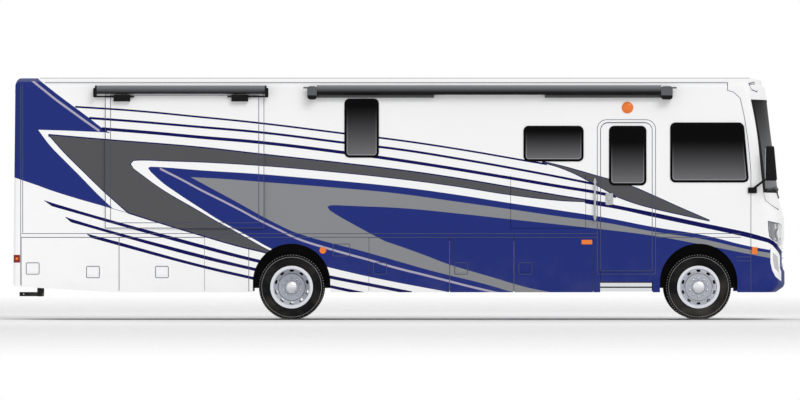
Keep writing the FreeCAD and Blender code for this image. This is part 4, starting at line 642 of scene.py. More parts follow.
def livery_group() -> bpy.types.NodeTree:
    """The coach's stripes: the drawing's bands laid over white, and the plain cabin colour inside the shell."""
    tree, graph, _, out = new_group("livery", {}, {"Colour": "NodeSocketColor"})
    place = graph.add("ShaderNodeSeparateXYZ", {0: graph.add("ShaderNodeTexCoord").outputs["Object"]})
    px = graph.math("MULTIPLY_ADD", place.outputs["X"], 1 / UNIT, GRID_X)
    py = graph.math("MULTIPLY_ADD", place.outputs["Z"], -1 / UNIT, GRID_Z)
    away = graph.math("ABSOLUTE", place.outputs["Y"])
    colour: object = Paint.WHITE.value
    for stripe in STRIPES:
        if stripe.outline:
            colour = graph.blend(stripe_mask(graph, px, py, stripe, stripe.outline), colour, Paint.NAVY.value)
        mask = stripe_mask(graph, px, py, stripe, 0.0)
        if stripe.inner:
            mask = graph.math("MULTIPLY", mask, graph.math("GREATER_THAN", away, stripe.inner))
        colour = graph.blend(mask, colour, stripe.paint.value)
    side = graph.math("GREATER_THAN", away, SHELL_INNER_Y)
    rear = graph.math("LESS_THAN", place.outputs["X"], REAR_FACE_X)
    front = graph.math("GREATER_THAN", place.outputs["X"], FRONT_FACE_X)
    roof = graph.math("GREATER_THAN", place.outputs["Z"], ROOF_EDGE_Z)
    outside = graph.math("MAXIMUM", graph.math("MAXIMUM", side, rear), graph.math("MAXIMUM", front, roof))
    graph.feed(out.inputs["Colour"], graph.blend(outside, Paint.CABIN.value, colour))
    return tree


@dataclass(frozen=True)
class Finish:
    """A material: its colour, shine and grain, with the socket values that stay the same all over."""

    name: str
    colour: Colour
    roughness: float
    metallic: float = 0.0
    coat: float = 0.0
    specular: float = 0.3
    transmission: float = 0.0
    grain: float = 60.0
    tone_spread: float = 0.06
    rough_spread: float = 0.08
    bump: float = 0.02
    dust: float = 0.0
    glow: float = 0.0

    def colour_source(self, graph: Graph) -> object:
        """The colour before grain and dust: one value here, a pattern in some finishes."""
        return self.colour

    def build(self, groups: dict[str, bpy.types.NodeTree]) -> bpy.types.Material:
        """Makes the material.

        Args:
            groups: the shared shader groups by name.

        Returns:
            The material.
        """
        made = bpy.data.materials.new(self.name)
        made.use_nodes = True
        graph = Graph(made.node_tree)
        shader = graph.add("ShaderNodeBsdfPrincipled", {
            "Metallic": self.metallic, "Specular IOR Level": self.specular, "Coat Weight": self.coat,
            "Transmission Weight": self.transmission})
        grain = graph.add("ShaderNodeGroup", node_tree=groups["fine_grain"])
        for label, value in {"Colour": self.colour_source(graph), "Scale": self.grain, "Tone Spread": self.tone_spread,
                             "Roughness": self.roughness, "Roughness Spread": self.rough_spread}.items():
            graph.feed(grain.inputs[label], value)
        colour, rough = grain.outputs["Colour"], grain.outputs["Roughness"]
        if self.dust:
            dust = graph.add("ShaderNodeGroup", node_tree=groups["road_dust"])
            for label, value in {"Colour": colour, "Roughness": rough, "Amount": self.dust}.items():
                graph.feed(dust.inputs[label], value)
            colour, rough = dust.outputs["Colour"], dust.outputs["Roughness"]
        bump = graph.add("ShaderNodeBump", {"Height": grain.outputs["Height"], "Strength": self.bump, "Distance": 0.01})
        graph.feed(shader.inputs["Base Color"], colour)
        graph.feed(shader.inputs["Roughness"], rough)
        graph.feed(shader.inputs["Normal"], bump.outputs[0])
        if self.glow:
            graph.feed(shader.inputs["Emission Color"], self.colour)
            shader.inputs["Emission Strength"].default_value = self.glow
        graph.add("ShaderNodeOutputMaterial", {"Surface": shader.outputs[0]})
        return made


@dataclass(frozen=True)
class LiveryPaint(Finish):
    """Gloss paint with the coach's stripes."""

    def colour_source(self, graph: Graph) -> object:
        """The stripes."""
        return graph.add("ShaderNodeGroup", node_tree=bpy.data.node_groups["livery"]).outputs["Colour"]


@dataclass(frozen=True)
class Pane:
    """A window pane's outline on the side plane, and the height from which its painted reflection is gone and it is
    fully dark, in metres.

    Its lean is how far the front edge moves forward for each metre down.
    """

    low: tuple[float, float]
    high: tuple[float, float]
    dark_at: float
    lean: float = 0.0


@dataclass(frozen=True)
class TintedGlass(Finish):
    """Glass with a painted reflection, grey at its foot and black higher up, with a black rim."""

    # Painted reflection: the grey that the glass shows at its foot
    reflected_foot_tone: Colour = linear(116, 116, 119)
    panes: tuple[Pane, ...] = ()
    fall: float = 1.5
    rim: float = 0.036
    round: float = 0.08

    def colour_source(self, graph: Graph) -> object:
        """Each pane's own tone and painted reflection, chosen by the place along the coach."""
        place = graph.add("ShaderNodeSeparateXYZ", {0: graph.add("ShaderNodeTexCoord").outputs["Object"]})
        colour: object = self.colour
        for pane in self.panes:
            middle: list = [(low + high) / 2 for low, high in zip(pane.low, pane.high)]
            half: list = [(high - low) / 2 for low, high in zip(pane.low, pane.high)]
            if pane.lean:
                grown = graph.math("MULTIPLY", graph.math("SUBTRACT", pane.high[1], place.outputs["Z"]), pane.lean / 2)
                middle[0], half[0] = graph.math("ADD", grown, middle[0]), graph.math("ADD", grown, half[0])
            own = graph.add("ShaderNodeGroup", node_tree=bpy.data.node_groups["pane_tone"])
            for label, value in {"Across": place.outputs["X"], "Up": place.outputs["Z"], "Middle Across": middle[0],
                                 "Middle Up": middle[1], "Half Across": half[0], "Half Up": half[1],
                                 "Round": self.round,
                                 "Rim": self.rim, "Dark At": pane.dark_at, "Fall": self.fall, "Glass": self.colour,
                                 "Reflected Foot": self.reflected_foot_tone}.items():
                graph.feed(own.inputs[label], value)
            past = graph.math("GREATER_THAN", place.outputs["X"], pane.low[0] - 0.2)
            colour = graph.blend(past, colour, own.outputs["Colour"])
        return colour


def tinted(name: str, *panes: Pane, tone_spread: float = 0.05) -> TintedGlass:
    """The coach's window glass, with its panes."""
    return TintedGlass(name, linear(2, 2, 3), 0.07, specular=0.05, grain=9, tone_spread=tone_spread, rough_spread=0.03,
                       bump=0.004, panes=panes)


@dataclass(frozen=True)
class ScreenGlass(Finish):
    """The windshield: a painted reflection, dark at its head and grey at its foot, with a black border that leans as
    its rear edge does.
    """

    # Painted reflection: the grey that the windshield shows at its foot
    reflected_foot_tone: Colour = linear(128, 129, 132)
    foot_z: float = 1.956
    head_z: float = 3.292
    edge_foot_x: float = 5.489
    lean: float = 0.1264
    border: float = 0.026
    fall: float = 1.25

    def colour_source(self, graph: Graph) -> object:
        """Painted reflection's tone by height; black within the border's width of the head, the foot or the leaning
        rear edge.
        """
        place = graph.add("ShaderNodeSeparateXYZ", {0: graph.add("ShaderNodeTexCoord").outputs["Object"]})
        rise = graph.math("SUBTRACT", place.outputs["Z"], self.foot_z)
        share = graph.math("POWER", graph.remap(rise, 0.0, self.head_z - self.foot_z, 1.0, 0.0), self.fall)
        # Painted reflection: grey at the foot, dark at the head
        tone = graph.blend(share, self.colour, self.reflected_foot_tone)
        edge = graph.math("SUBTRACT", place.outputs["X"],
                          graph.math("MULTIPLY_ADD", rise, -self.lean, self.edge_foot_x))
        fall = graph.math("SUBTRACT", self.head_z - self.foot_z, rise)
        near = graph.math("MINIMUM", graph.math("MINIMUM", edge, rise), fall)
        return graph.blend(graph.math("LESS_THAN", near, self.border), tone, GLASS_BORDER)


@dataclass(frozen=True)
class ShadedRollCover(Finish):
    """An awning's rolled cover, grey on top and black below as painted shade, between end fittings of a tone of their
    own, black at their foot as painted shade.
    """

    foot: float = 3.432
    crown: float = 3.53
    reach: tuple[float, float] = (-1.255, 3.94)
    cap: Colour = linear(92, 95, 99)
    cap_shaded_below: float = 3.39

    def colour_source(self, graph: Graph) -> object:
        """Grey by height on the roll, black on its lower side as painted shade; the fittings' tone beyond its ends,
        black at their foot as painted shade.
        """
        place = graph.add("ShaderNodeSeparateXYZ", {0: graph.add("ShaderNodeTexCoord").outputs["Object"]})
        # Painted shade: the roll goes from grey on top to black on its lower side
        rise = graph.math("POWER", graph.remap(place.outputs["Z"], self.foot, self.crown), 1.2)
        roll = graph.blend(rise, linear(5, 5, 7), self.colour)
        # Painted shade: the end fittings go black at their foot
        fitting = graph.blend(graph.math("GREATER_THAN", place.outputs["Z"], self.cap_shaded_below), linear(6, 6, 8), self.cap)
        before = graph.math("LESS_THAN", place.outputs["X"], self.reach[0])
        beyond = graph.math("MAXIMUM", before, graph.math("GREATER_THAN", place.outputs["X"], self.reach[1]))
        return graph.blend(beyond, roll, fitting)


@dataclass(frozen=True)
class WheelMetal(Finish):
    """Polished wheel metal, with a painted reflection in bluish grey inside the disc's raised ring, and a painted shade
    line on the ring.
    """

    axles: tuple[float, float] = (FRONT_AXLE_X, REAR_AXLE_X)
    ring: float = 0.206
    ring_half: float = 0.0035
    # Painted reflection: bluish grey inside the raised ring
    inner: Colour = linear(176, 180, 188)
    # Painted shade: a dark line along the raised ring
    ring_shade_line: Colour = linear(86, 92, 106)

    def colour_source(self, graph: Graph) -> object:
        """Painted reflection and shade line by distance from the nearer axle's centre line."""
        place = graph.add("ShaderNodeSeparateXYZ", {0: graph.add("ShaderNodeTexCoord").outputs["Object"]})
        front = graph.math("ABSOLUTE", graph.math("SUBTRACT", place.outputs["X"], self.axles[0]))
        rear = graph.math("ABSOLUTE", graph.math("SUBTRACT", place.outputs["X"], self.axles[1]))
        rise = graph.math("SUBTRACT", place.outputs["Z"], AXLE_Z)
        level = graph.math("MINIMUM", front, rear)
        square = graph.math("MULTIPLY_ADD", level, level, graph.math("MULTIPLY", rise, rise))
        reach = graph.math("SQRT", square)
        toned = graph.blend(graph.math("GREATER_THAN", reach, self.ring), self.inner, self.colour)
        off = graph.math("ABSOLUTE", graph.math("SUBTRACT", reach, self.ring))
        return graph.blend(graph.math("LESS_THAN", off, self.ring_half), toned, self.ring_shade_line)


@dataclass(frozen=True)
class TyreRubber(Finish):
    """Black rubber with a pale sidewall line, and painted glints on the shoulder blocks, read from the mesh's `reach`
    attribute.
    """

    line_radius: float = 0.452
    line_half: float = 0.0018
    # Pale tone of the sidewall line, and of the painted glints on the shoulder blocks
    pale_line_and_glint: Colour = linear(176, 176, 178)

    def colour_source(self, graph: Graph) -> object:
        """Rubber, and the pale tone where the distance from the axle is the line's."""
        reach = graph.add("ShaderNodeAttribute", attribute_name="reach").outputs["Fac"]
        off = graph.math("ABSOLUTE", graph.math("SUBTRACT", reach, self.line_radius))
        return graph.blend(graph.math("LESS_THAN", off, self.line_half), self.colour, self.pale_line_and_glint)


@dataclass(frozen=True)
class WovenFabric(Finish):
    """Upholstery with a plain weave."""

    thread: float = 900.0

    def colour_source(self, graph: Graph) -> object:
        """Two sets of fine bands, crossed, darken the colour between threads."""
        place = graph.add("ShaderNodeTexCoord").outputs["Object"]
        warp = graph.add("ShaderNodeTexWave", {"Vector": place, "Scale": self.thread / 20},
                         bands_direction="Y").outputs[1]
        weft = graph.add("ShaderNodeTexWave", {"Vector": place, "Scale": self.thread / 20},
                         bands_direction="Z").outputs[1]
        return graph.blend(graph.math("MULTIPLY", warp, weft), tuple(0.62 * c for c in self.colour), self.colour)


class Look(Enum):
    """Every finish that the coach uses."""

    PAINT = LiveryPaint("livery_paint", Paint.WHITE.value, 0.22, coat=0.12, specular=0.0, grain=220, tone_spread=0.02,
                        rough_spread=0.06, bump=0.012, dust=0.07)
    SEAM = Finish("seam_grey", linear(84, 88, 112), 0.5, specular=0.0, grain=200, bump=0.01)
    SIDE_GLASS = tinted("side_glass", Pane((-0.84, 2.45), (-0.318, 3.34), 3.24),
                        Pane((1.864, 2.392), (2.773, 2.931), 2.86), Pane((4.079, 2.075), (5.194, 2.981), 2.72))
    DOOR_GLASS = tinted("door_glass", Pane((3.155, 2.03), (3.721, 2.931), 2.69))
    CAB_GLASS = tinted("cab_glass", Pane((4.079, 2.075), (5.1916, 2.981), 2.72, 0.0883))
    ROOM_GLASS = tinted("room_window_glass", Pane((0.28, 2.28), (1.42, 3.02), 2.9), tone_spread=0.06)
    SCREEN = ScreenGlass("screen_glass", linear(9, 9, 10), 0.04, specular=0.0, coat=0.08, transmission=0.06, grain=9,
                         rough_spread=0.02, bump=0.003)
    LENS = Finish("clear_lens", linear(226, 230, 234), 0.05, transmission=0.8, grain=30, rough_spread=0.03, bump=0.01)
    AMBER = Finish("amber_lens", linear(228, 118, 44), 0.14, grain=300, bump=0.03, glow=0.12)
    RED_LENS = Finish("red_lens", linear(128, 22, 20), 0.14, grain=300, bump=0.03, glow=0.12)
    BLACK = Finish("black_moulding", linear(14, 14, 16), 0.42, specular=0.12, grain=340, rough_spread=0.16, bump=0.06,
                   dust=0.04)
    CHASSIS = Finish("chassis_paint", linear(30, 30, 32), 0.5, grain=120, tone_spread=0.25, rough_spread=0.2,
                     bump=0.12, dust=0.4)
    ZINC = Finish("zinc_sheet", linear(150, 153, 156), 0.42, metallic=0.85, grain=34, tone_spread=0.2, rough_spread=0.2,
                  bump=0.03, dust=0.3)
    ALLOY = WheelMetal("polished_alloy", linear(226, 229, 235), 0.24, metallic=0.5, grain=150, rough_spread=0.08,
                       bump=0.006, dust=0.06)
    MIRROR = Finish("mirror_glass", linear(214, 218, 222), 0.03, metallic=1.0, grain=20, rough_spread=0.01, bump=0.0)
    BRIGHT = Finish("bright_trim", linear(226, 228, 231), 0.2, metallic=1.0, grain=190, rough_spread=0.08, bump=0.005)
    SATIN = Finish("satin_trim", linear(186, 187, 188), 0.42, metallic=0.5, grain=190, rough_spread=0.08, bump=0.01)
    IRON = Finish("cast_iron", linear(58, 56, 55), 0.6, metallic=0.5, grain=180, tone_spread=0.3, rough_spread=0.2,
                  bump=0.2, dust=0.4)
    TYRE = TyreRubber("tyre_rubber", linear(17, 17, 19), 0.78, specular=0.1, grain=260, tone_spread=0.16,
                      rough_spread=0.12,
                      bump=0.1, dust=0.12)
    PLY = Finish("deck_ply", linear(150, 122, 84), 0.65, grain=26, tone_spread=0.3, rough_spread=0.15, bump=0.1)
    AWNING = ShadedRollCover("awning_cover", linear(126, 130, 133), 0.5, specular=0.15, grain=200, rough_spread=0.1,
                       bump=0.03)
    TOPPER = ShadedRollCover("topper_cover", linear(126, 130, 133), 0.5, specular=0.15, grain=200, rough_spread=0.1,
                       bump=0.03,
                       reach=(-4.576, -2.04), cap=linear(8, 8, 10), foot=3.415, crown=3.53)
    ARM = Finish("arm_grey", linear(82, 83, 85), 0.5, specular=0.15, grain=200, rough_spread=0.1, bump=0.02)
    FABRIC = WovenFabric("seat_cloth", linear(116, 104, 92), 0.86, grain=420, tone_spread=0.12, bump=0.16)
    DASH = Finish("dash_moulding", linear(74, 72, 72), 0.55, grain=420, rough_spread=0.14, bump=0.12)


def new_object(name: str, surface: Surface, material: bpy.types.Material) -> bpy.types.Object:
    """Puts an object with a surface's mesh and one material in the scene."""
    mesh = bpy.data.meshes.new(name)
    mesh.from_pydata(surface.points.tolist(), [], surface.faces)
    mesh.materials.append(material)
    made = bpy.data.objects.new(name, mesh)
    bpy.context.scene.collection.objects.link(made)
    return made


@dataclass
class Workshop:
    """Keeps the materials and puts pieces in the scene."""

    looks: dict[Look, bpy.types.Material]

    @classmethod
    def opened(cls) -> "Workshop":
        """Builds the shared groups and every material once."""
        groups = {"fine_grain": grain_group(), "road_dust": dust_group(), "livery": livery_group(),
                  "pane_tone": pane_group()}
        return cls({look: look.value.build(groups) for look in Look})

    def piece(self, name: str, surface: Surface, body: str, look: Look, replaces: tuple[str, ...] = (),
              crease: float = 35.0) -> bpy.types.Object:
        """Makes an object from a surface and says what carries it.

        Args:
            name: the piece's name.
            surface: its mesh, in place.
            body: the CAD body it rides on.
            look: its finish.
            replaces: CAD nodes it stands for.
            crease: edges sharper than this, in degrees, stay crisp.

        Returns:
            The object.
        """
        made = new_object(name, surface, self.looks[look])
        made.data.validate()
        made.data.shade_smooth()
        made.data.set_sharp_from_angle(angle=math.radians(crease))
        self.settle(made, body, replaces)
        LOG.info("%s: %d faces on %s", name, len(surface.faces), body)
        return made

    def settle(self, made: bpy.types.Object, body: str, replaces: tuple[str, ...] = ()) -> None:
        """Parents a piece to its body's empty, and hides the CAD nodes it stands for."""
        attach(made, body)
        if replaces:
            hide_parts(*replaces)

    def dress(self, look: Look, *nodes: str) -> None:
        """Gives CAD nodes a finish."""
        for name in nodes:
            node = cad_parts[name]
            if not node.material_slots:
                node.data.materials.append(self.looks[look])
            for held in node.material_slots:
                held.material = self.looks[look]


class Shell:
    """Finds where a line meets the surfaces of some CAD nodes."""

    def __init__(self, *names: str) -> None:
        """Builds the search tree from the nodes' meshes, in world places."""
        points, faces = [], []
        for name in names:
            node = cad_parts[name]
            start = len(points)
            points += [node.matrix_world @ vertex.co for vertex in node.data.vertices]
            faces += [[number + start for number in face.vertices] for face in node.data.polygons]
        self.tree = BVHTree.FromPolygons(points, faces)

    def meet(self, start: tuple[float, float, float], heading: tuple[float, float, float]) -> np.ndarray:
        """First point of the surfaces from `start` along `heading`, or `start` if there is none."""
        found = self.tree.ray_cast(Vector(start), Vector(heading))[0]
        return np.array(found if found else start)

    def facing(self, start: tuple[float, float, float], heading: tuple[float, float, float]) -> tuple[np.ndarray,
                                                                                                      np.ndarray]:
        """The point met first and the surface's direction there, turned against `heading`."""
        found, normal, _, _ = self.tree.ray_cast(Vector(start), Vector(heading))
        normal = np.array(normal)
        return np.array(found), normal if normal @ np.array(heading) < 0 else -normal


@dataclass
class Body:
    """Finishes of the coach's own shell, chassis and cabin nodes."""

    painted: tuple[str, ...] = (
        "right_wall", "left_wall", "arch_skirts", "rear_cap", "front_cap", "front_bumper", "entry_door", "hatch_lid",
        "room_right", "room_left", "bay_door_r1", "bay_door_r2", "bay_door_r3", "bay_door_r4", "bay_door_r5",
        "bay_door_l1", "bay_door_l2", "bay_door_l3", "bay_door_l4", "roof_panel")
    plain: tuple[tuple[Look, tuple[str, ...]], ...] = (
        (Look.SIDE_GLASS, ("side_glass",)),
        (Look.DOOR_GLASS, ("entry_glass",)),
        (Look.ROOM_GLASS, ("room_glass",)),
        (Look.SCREEN, ("windshield",)),
        (Look.LENS, ("headlamps",)),
        (Look.BRIGHT, ("grille",)),
        (Look.PLY, ("floor_deck",)),
        (Look.ZINC, ("rear_bays", "mid_bays", "stairwell", "fuel_tank", "exhaust_pipe")),
        (Look.AWNING, ("awning",)),
        (Look.TOPPER, ("slide_topper",)),
        (Look.CHASSIS, ("chassis_frame", "front_axle", "rear_axle", "drive_shaft")),
        (Look.IRON, ("engine_block", "knuckle_right", "knuckle_left")),
        (Look.BLACK, ("wheel_wells", "hatch_box", "outer_step", "steering_wheel")),
        (Look.ALLOY, ("front_rim_right", "front_rim_left", "rear_rims_right", "rear_rims_left")),
        (Look.AMBER, ("marker_lamps",)),
        (Look.RED_LENS, ("tail_lamps",)),
        (Look.DASH, ("dashboard",)),
    )

    def build(self, shop: Workshop) -> None:
        """Paints the shell and dresses the rest."""
        shop.dress(Look.PAINT, *self.painted)
        for look, nodes in self.plain:
            shop.dress(look, *nodes)


@dataclass
class Tyres:
    """Commercial radial tyres: ribbed tread, notched shoulders, rounded sidewalls with raised rings."""

    radius: float = 0.495
    half: float = 0.125
    tread_half: float = 0.106
    bead_radius: float = 0.2903
    bead_half: float = 0.0995
    lip_radius: float = 0.325
    wall_radius: float = 0.474
    notches: int = 72
    notch_deep: float = 0.009
    groove_deep: float = 0.011
    grooves: tuple[float, ...] = (-0.048, 0.0, 0.048)
    rings: tuple[float, ...] = (0.352, 0.425, 0.452)
    # Distances from the axle where the shoulder blocks carry painted glints
    shoulder: tuple[float, float] = (0.4795, 0.4895)

    def profile(self) -> np.ndarray:
        """Radius and lateral place round one tyre section.

        The sidewall bulges as a sine between the lip and the shoulder, rings add a little bell, and the tread is a
        shallow crown with each groove cut as a steep trough.

        Returns:
            Rows of radius and lateral place, from one bead over the tread to the other.
        """
        up = np.linspace(0, 1, 25)
        wall_r = self.lip_radius + up * (self.wall_radius - self.lip_radius)
        bulge = self.bead_half + (self.half - self.bead_half) * np.sin(math.pi * up) ** 0.8
        for ring in self.rings:
            bulge = bulge + 0.0014 * np.exp(-(((wall_r - ring) / 0.0035) ** 2))
        bulge = np.minimum(bulge, self.half)
        shoulder_r = np.array([0.482, 0.489])
        shoulder_y = np.array([0.1035, 0.0985])
        flat = np.concatenate([[0.094, 0.088]] + [[g + 0.0068, g + 0.0048, g - 0.0048,
                                                   g - 0.0068] for g in self.grooves[::-1]]
                              + [[-0.088, -0.094]])
        inside = np.min(np.abs(flat[:, None] - np.array(self.grooves)), 1) < 0.005
        crown = self.radius - 0.004 * (flat / self.tread_half) ** 2
        tread_r = np.where(inside, crown - self.groove_deep, crown)
        radius = np.concatenate([[self.bead_radius], wall_r, shoulder_r, tread_r, shoulder_r[::-1], wall_r[::-1],
                                 [self.bead_radius]])
        place = np.concatenate([[self.bead_half], bulge, shoulder_y, flat, -shoulder_y[::-1], -bulge[::-1],
                                [-self.bead_half]])
        return np.stack([radius, place], 1)

    def tyre(self, x: float, y: float) -> Surface:
        """One tyre: the profile turned about the axle, its shoulders cut back at each notch.

        Args:
            x: the axle's place along the coach.
            y: the tyre's middle across the coach.

        Returns:
            The surface.
        """
        radius, place = self.profile().T
        phase = np.arange(self.notches * 4)
        angle = phase * 2 * math.pi / len(phase)
        cut = (phase % 4 == 0)[:, None] & (np.abs(place) > 0.08)[None] & (radius > 0.47)[None]
        reach = radius[None] - self.notch_deep * cut
        points = np.stack([x + reach * np.cos(angle)[:, None], y + np.broadcast_to(place, reach.shape),
                           AXLE_Z + reach * np.sin(angle)[:, None]], -1)
        return lattice(points, ring=True, loop=True)

    def marked(self, surface: Surface, x: float) -> np.ndarray:
        """Distance of each point from the axle, with the pale line's own distance at the shoulder blocks, which paints
        glints on them.

        Args:
            surface: the tyres on one hub.
            x: the axle's place along the coach.

        Returns:
            One number for each point.
        """
        offset = surface.points - [x, 0, AXLE_Z]
        reach = np.hypot(offset[:, 0], offset[:, 2])
        phase = np.round(np.arctan2(offset[:, 2], offset[:, 0]) * self.notches * 2 / math.pi).astype(int) % 4
        block = (phase == 1) | (phase == 2)
        # Painted highlight: the shoulder blocks take the sidewall line's pale tone as glints
        reach[block & (reach > self.shoulder[0]) & (reach < self.shoulder[1])] = Look.TYRE.value.line_radius
        return reach

    def build(self, shop: Workshop) -> None:
        """Four pieces: a tyre on each front wheel, and the twin tyres on each side at the rear."""
        for side, word in ((RIGHT, "right"), (LEFT, "left")):
            front = self.tyre(FRONT_AXLE_X, side * (FRONT_HUB_Y - WHEEL_SET))
            rear = self.tyre(REAR_AXLE_X, side * (REAR_HUB_Y + WHEEL_SET)).plus(
                self.tyre(REAR_AXLE_X, side * (REAR_HUB_Y - WHEEL_SET)))
            for name, surface, body, node, x in (
                    (f"front_tread_{word}", front, f"front_wheel_{word}", f"front_tyre_{word}", FRONT_AXLE_X),
                    (f"rear_treads_{word}", rear, f"rear_wheels_{word}", f"rear_tyres_{word}", REAR_AXLE_X)):
                made = shop.piece(name, surface, body, Look.TYRE, (node,), crease=28)
                kept = made.data.attributes.new("reach", "FLOAT", "POINT")
                kept.data.foreach_set("value", self.marked(surface, x).astype(np.float32))


@dataclass
class WheelTrim:
    """Wheel nuts and hub covers."""

    nut_ring: float = 0.137
    nut_radius: float = 0.0165
    nut_tall: float = 0.03
    nuts: int = 10
    cover_radius: float = 0.086

    def nut_set(self, x: float, y: float, side: int) -> Surface:
        """Ten domed six-sided nuts spaced evenly round the hub."""
        parts = []
        for number in range(self.nuts):
            turn = 2 * math.pi * (number + 0.5) / self.nuts
            centre = (x + self.nut_ring * math.cos(turn), y, AXLE_Z + self.nut_ring * math.sin(turn))
            parts.append(turned(((self.nut_radius, -0.002), (self.nut_radius, 0.016), (0.011, 0.022),
                                 (0.009, self.nut_tall),
                                 (0.004, self.nut_tall + 0.003)), centre, Axis.ACROSS, 6, outward=side))
        return merged(parts)

    def cover(self, x: float, y: float, side: int, tall: float) -> Surface:
        """A pressed dome over the hub: radius falls as the square root of what rise is left."""
        rise = np.linspace(0, 1, 9)
        radius = self.cover_radius * np.sqrt(np.maximum(1 - (rise * 0.985) ** 2.2, 0.0))
        profile = [(self.cover_radius + 0.004, -0.004), (self.cover_radius + 0.004, 0.003)]
        profile += list(zip(radius.tolist(), (0.003 + tall * rise).tolist()))
        return turned(tuple(profile), (x, y, AXLE_Z), Axis.ACROSS, 48, outward=side)

    def build(self, shop: Workshop) -> None:
        """Four sets of trim, one on each wheel body."""
        for side, word in ((RIGHT, "right"), (LEFT, "left")):
            front_y, rear_y = side * FRONT_HUB_Y, side * (REAR_HUB_Y + 0.012)
            front = merged([self.nut_set(FRONT_AXLE_X, front_y, side),
                            self.cover(FRONT_AXLE_X, side * 1.2565, side, 0.022)])
            rear = merged([self.nut_set(REAR_AXLE_X, rear_y, side), self.cover(REAR_AXLE_X, side * 1.1, side, 0.03)])
            shop.piece(f"front_wheel_nuts_{word}", front, f"front_wheel_{word}", Look.BRIGHT)
            shop.piece(f"rear_wheel_nuts_{word}", rear, f"rear_wheels_{word}", Look.BRIGHT)


@dataclass
class SeamLines:
    """Thin mouldings: rails, panel joints, the cap's lines, and outlines of rooms, doorway and fuel flap."""

    room_y: float = 1.326
    room_inset: float = 0.078
    inner_limit: float = 0.9
    flap: tuple[float, float, float, float] = (-1.013, 0.965, -0.757, 1.146)
    rooms: tuple[tuple[str, int, tuple[float, float]], ...] = (
        ("room_right", RIGHT, (-4.448, -2.054)), ("room_left", LEFT, (-0.772, 2.672)))
    room_z: tuple[float, float] = (1.388, 3.472)
    cap_lines: tuple[Points, ...] = (
        ((763.6, 193), (765.7, 200.7), (772.3, 205.7), (779.4, 210.2), (782.3, 210.8)),
        ((786, 225.5), (768.2, 221), (768.6, 230), (770, 237), (776, 243.5), (781.6, 247.5)),
        ((749.2, 85.2), (748.8, 83.4), (763, 79.5), (763.4, 81.2), (749.2, 85.2), (752, 90), (756.5, 91.6), (760.5, 88),
         (763.4, 82)),
        ((736.5, 257), (750.5, 257)), ((736.5, 260.8), (750.5, 260.8)))

    def strip(self, path: Points, side: int, face: float = WALL_Y) -> Surface:
        """A bead along a path given on the side drawing."""
        places = [(along(px), above(py)) for px, py in path]
        return swept(on_wall(places, side, face), bead(BEAD_WIDE, BEAD_TALL), (0, side, 0))

    def laid(self, path: Points, side: int, shell: Shell) -> Surface:
        """A bead along a path on the side drawing, each point put where a line across the coach meets the shell."""
        places = np.array([(along(px), above(py)) for px, py in path])
        run = np.concatenate([[0.0], np.cumsum(np.linalg.norm(np.diff(places, axis=0), axis=1))])
        steps = np.linspace(0, run[-1], int(run[-1] / 0.015) + 2)
        spots = zip(np.interp(steps, run, places[:, 0]), np.interp(steps, run, places[:, 1]))
        met = np.array([shell.meet((x, side * 3.0, z), (0, -side, 0)) for x, z in spots])
        away = np.abs(met[:, 1])
        met = met[(away > self.inner_limit) & (away < 2.0)]
        return swept(met, bead(BEAD_WIDE, BEAD_TALL), (0, side, 0))

    def door_outline(self, rear: float, foot: float, front: float, head: float, bend: float) -> Surface:
        """A bead round the entry door or its doorway: wide curves at the head and tight ones at the foot."""
        x0, z0, x1, z1 = along(rear), above(foot), along(front), above(head)
        tight, wide = rounded_loop(x0, z0, x1, z1, 0.02), rounded_loop(x0, z0, x1, z1, bend)
        path = np.vstack([tight[:6], wide[6:18], tight[18:]])
        return outlined(path, RIGHT)

    def room_outline(self, side: int, reach: tuple[float, float]) -> Surface:
        """Two rectangles round a slide-out room: its flange's edge, and the box's edge inside it."""
        parts = []
        for inset in (0.0, self.room_inset):
            loop = rounded_loop(reach[0] + inset, self.room_z[0] + inset, reach[1] - inset, self.room_z[1] - inset,
                                0.01)
            parts.append(outlined(loop, side, self.room_y))
        return merged(parts)

    def roof_line(self) -> Surface:
        """A low bead along the roof's crown, laid on it from above."""
        roof = Shell("roof_panel", "front_cap", "rear_cap")
        path = [roof.meet((x, 0, 5.0), (0, 0, -1)) for x in np.linspace(along(38), along(752), 40)]
        return swept(np.array(path), bead(0.014, 0.007), (0, 0, 1))

    def build(self, shop: Workshop) -> None:
        """Lines on both walls, with the doorway's and the fuel flap's on the right one, and an outline on each room."""
        cap = Shell("front_cap", "headlamps", "front_bumper", "right_wall", "left_wall", "arch_skirts")
        for side, word in ((RIGHT, "right"), (LEFT, "left")):
            rails = [((21.6, 233.6), (597.4, 233.6)), ((21.6, 237.3), (597.4, 237.3)),
                     ((655.8, 233.6), (741, 233.6)), ((655.8, 237.3), (741, 237.3))]
            if side == LEFT:
                rails = [((21.6, 233.6), (741, 233.6)), ((21.6, 237.3), (741, 237.3))]
            rails += [((45, 82.4), (727.6, 82.4)), ((22.8, 83), (22.8, 232.8)), ((20.8, 83), (20.8, 285)),
                      ((248.9, 249.3), (248.9, 291.5)),
                      ((727.6, 82.4), (727.6, 90.4), (733.5, 92), (737, 95), (740.3, 98.3), (743, 110), (745, 120),
                       (748, 140),
                       (750, 160), (751, 172), (751, 291))]
            made = merged([self.strip(path, side) for path in rails] + [self.laid(path, side,
                                                                                  cap) for path in self.cap_lines])
            if side == RIGHT:
                flap = outlined(rounded_loop(*self.flap, 0.02), side)
                made = made.plus(flap, self.door_outline(597.4, 274.1, 655.6, 119.7, 0.14), self.roof_line())
            shop.piece(f"wall_mouldings_{word}", made, "root", Look.SEAM)
        shop.piece("entry_door_outline", self.door_outline(600.7, 270.9, 652.3, 122.9, 0.11), "entry_door",
                   Look.SEAM)
        for body, side, reach in self.rooms:
            shop.piece(f"{body}_outline", self.room_outline(side, reach), body, Look.SEAM)


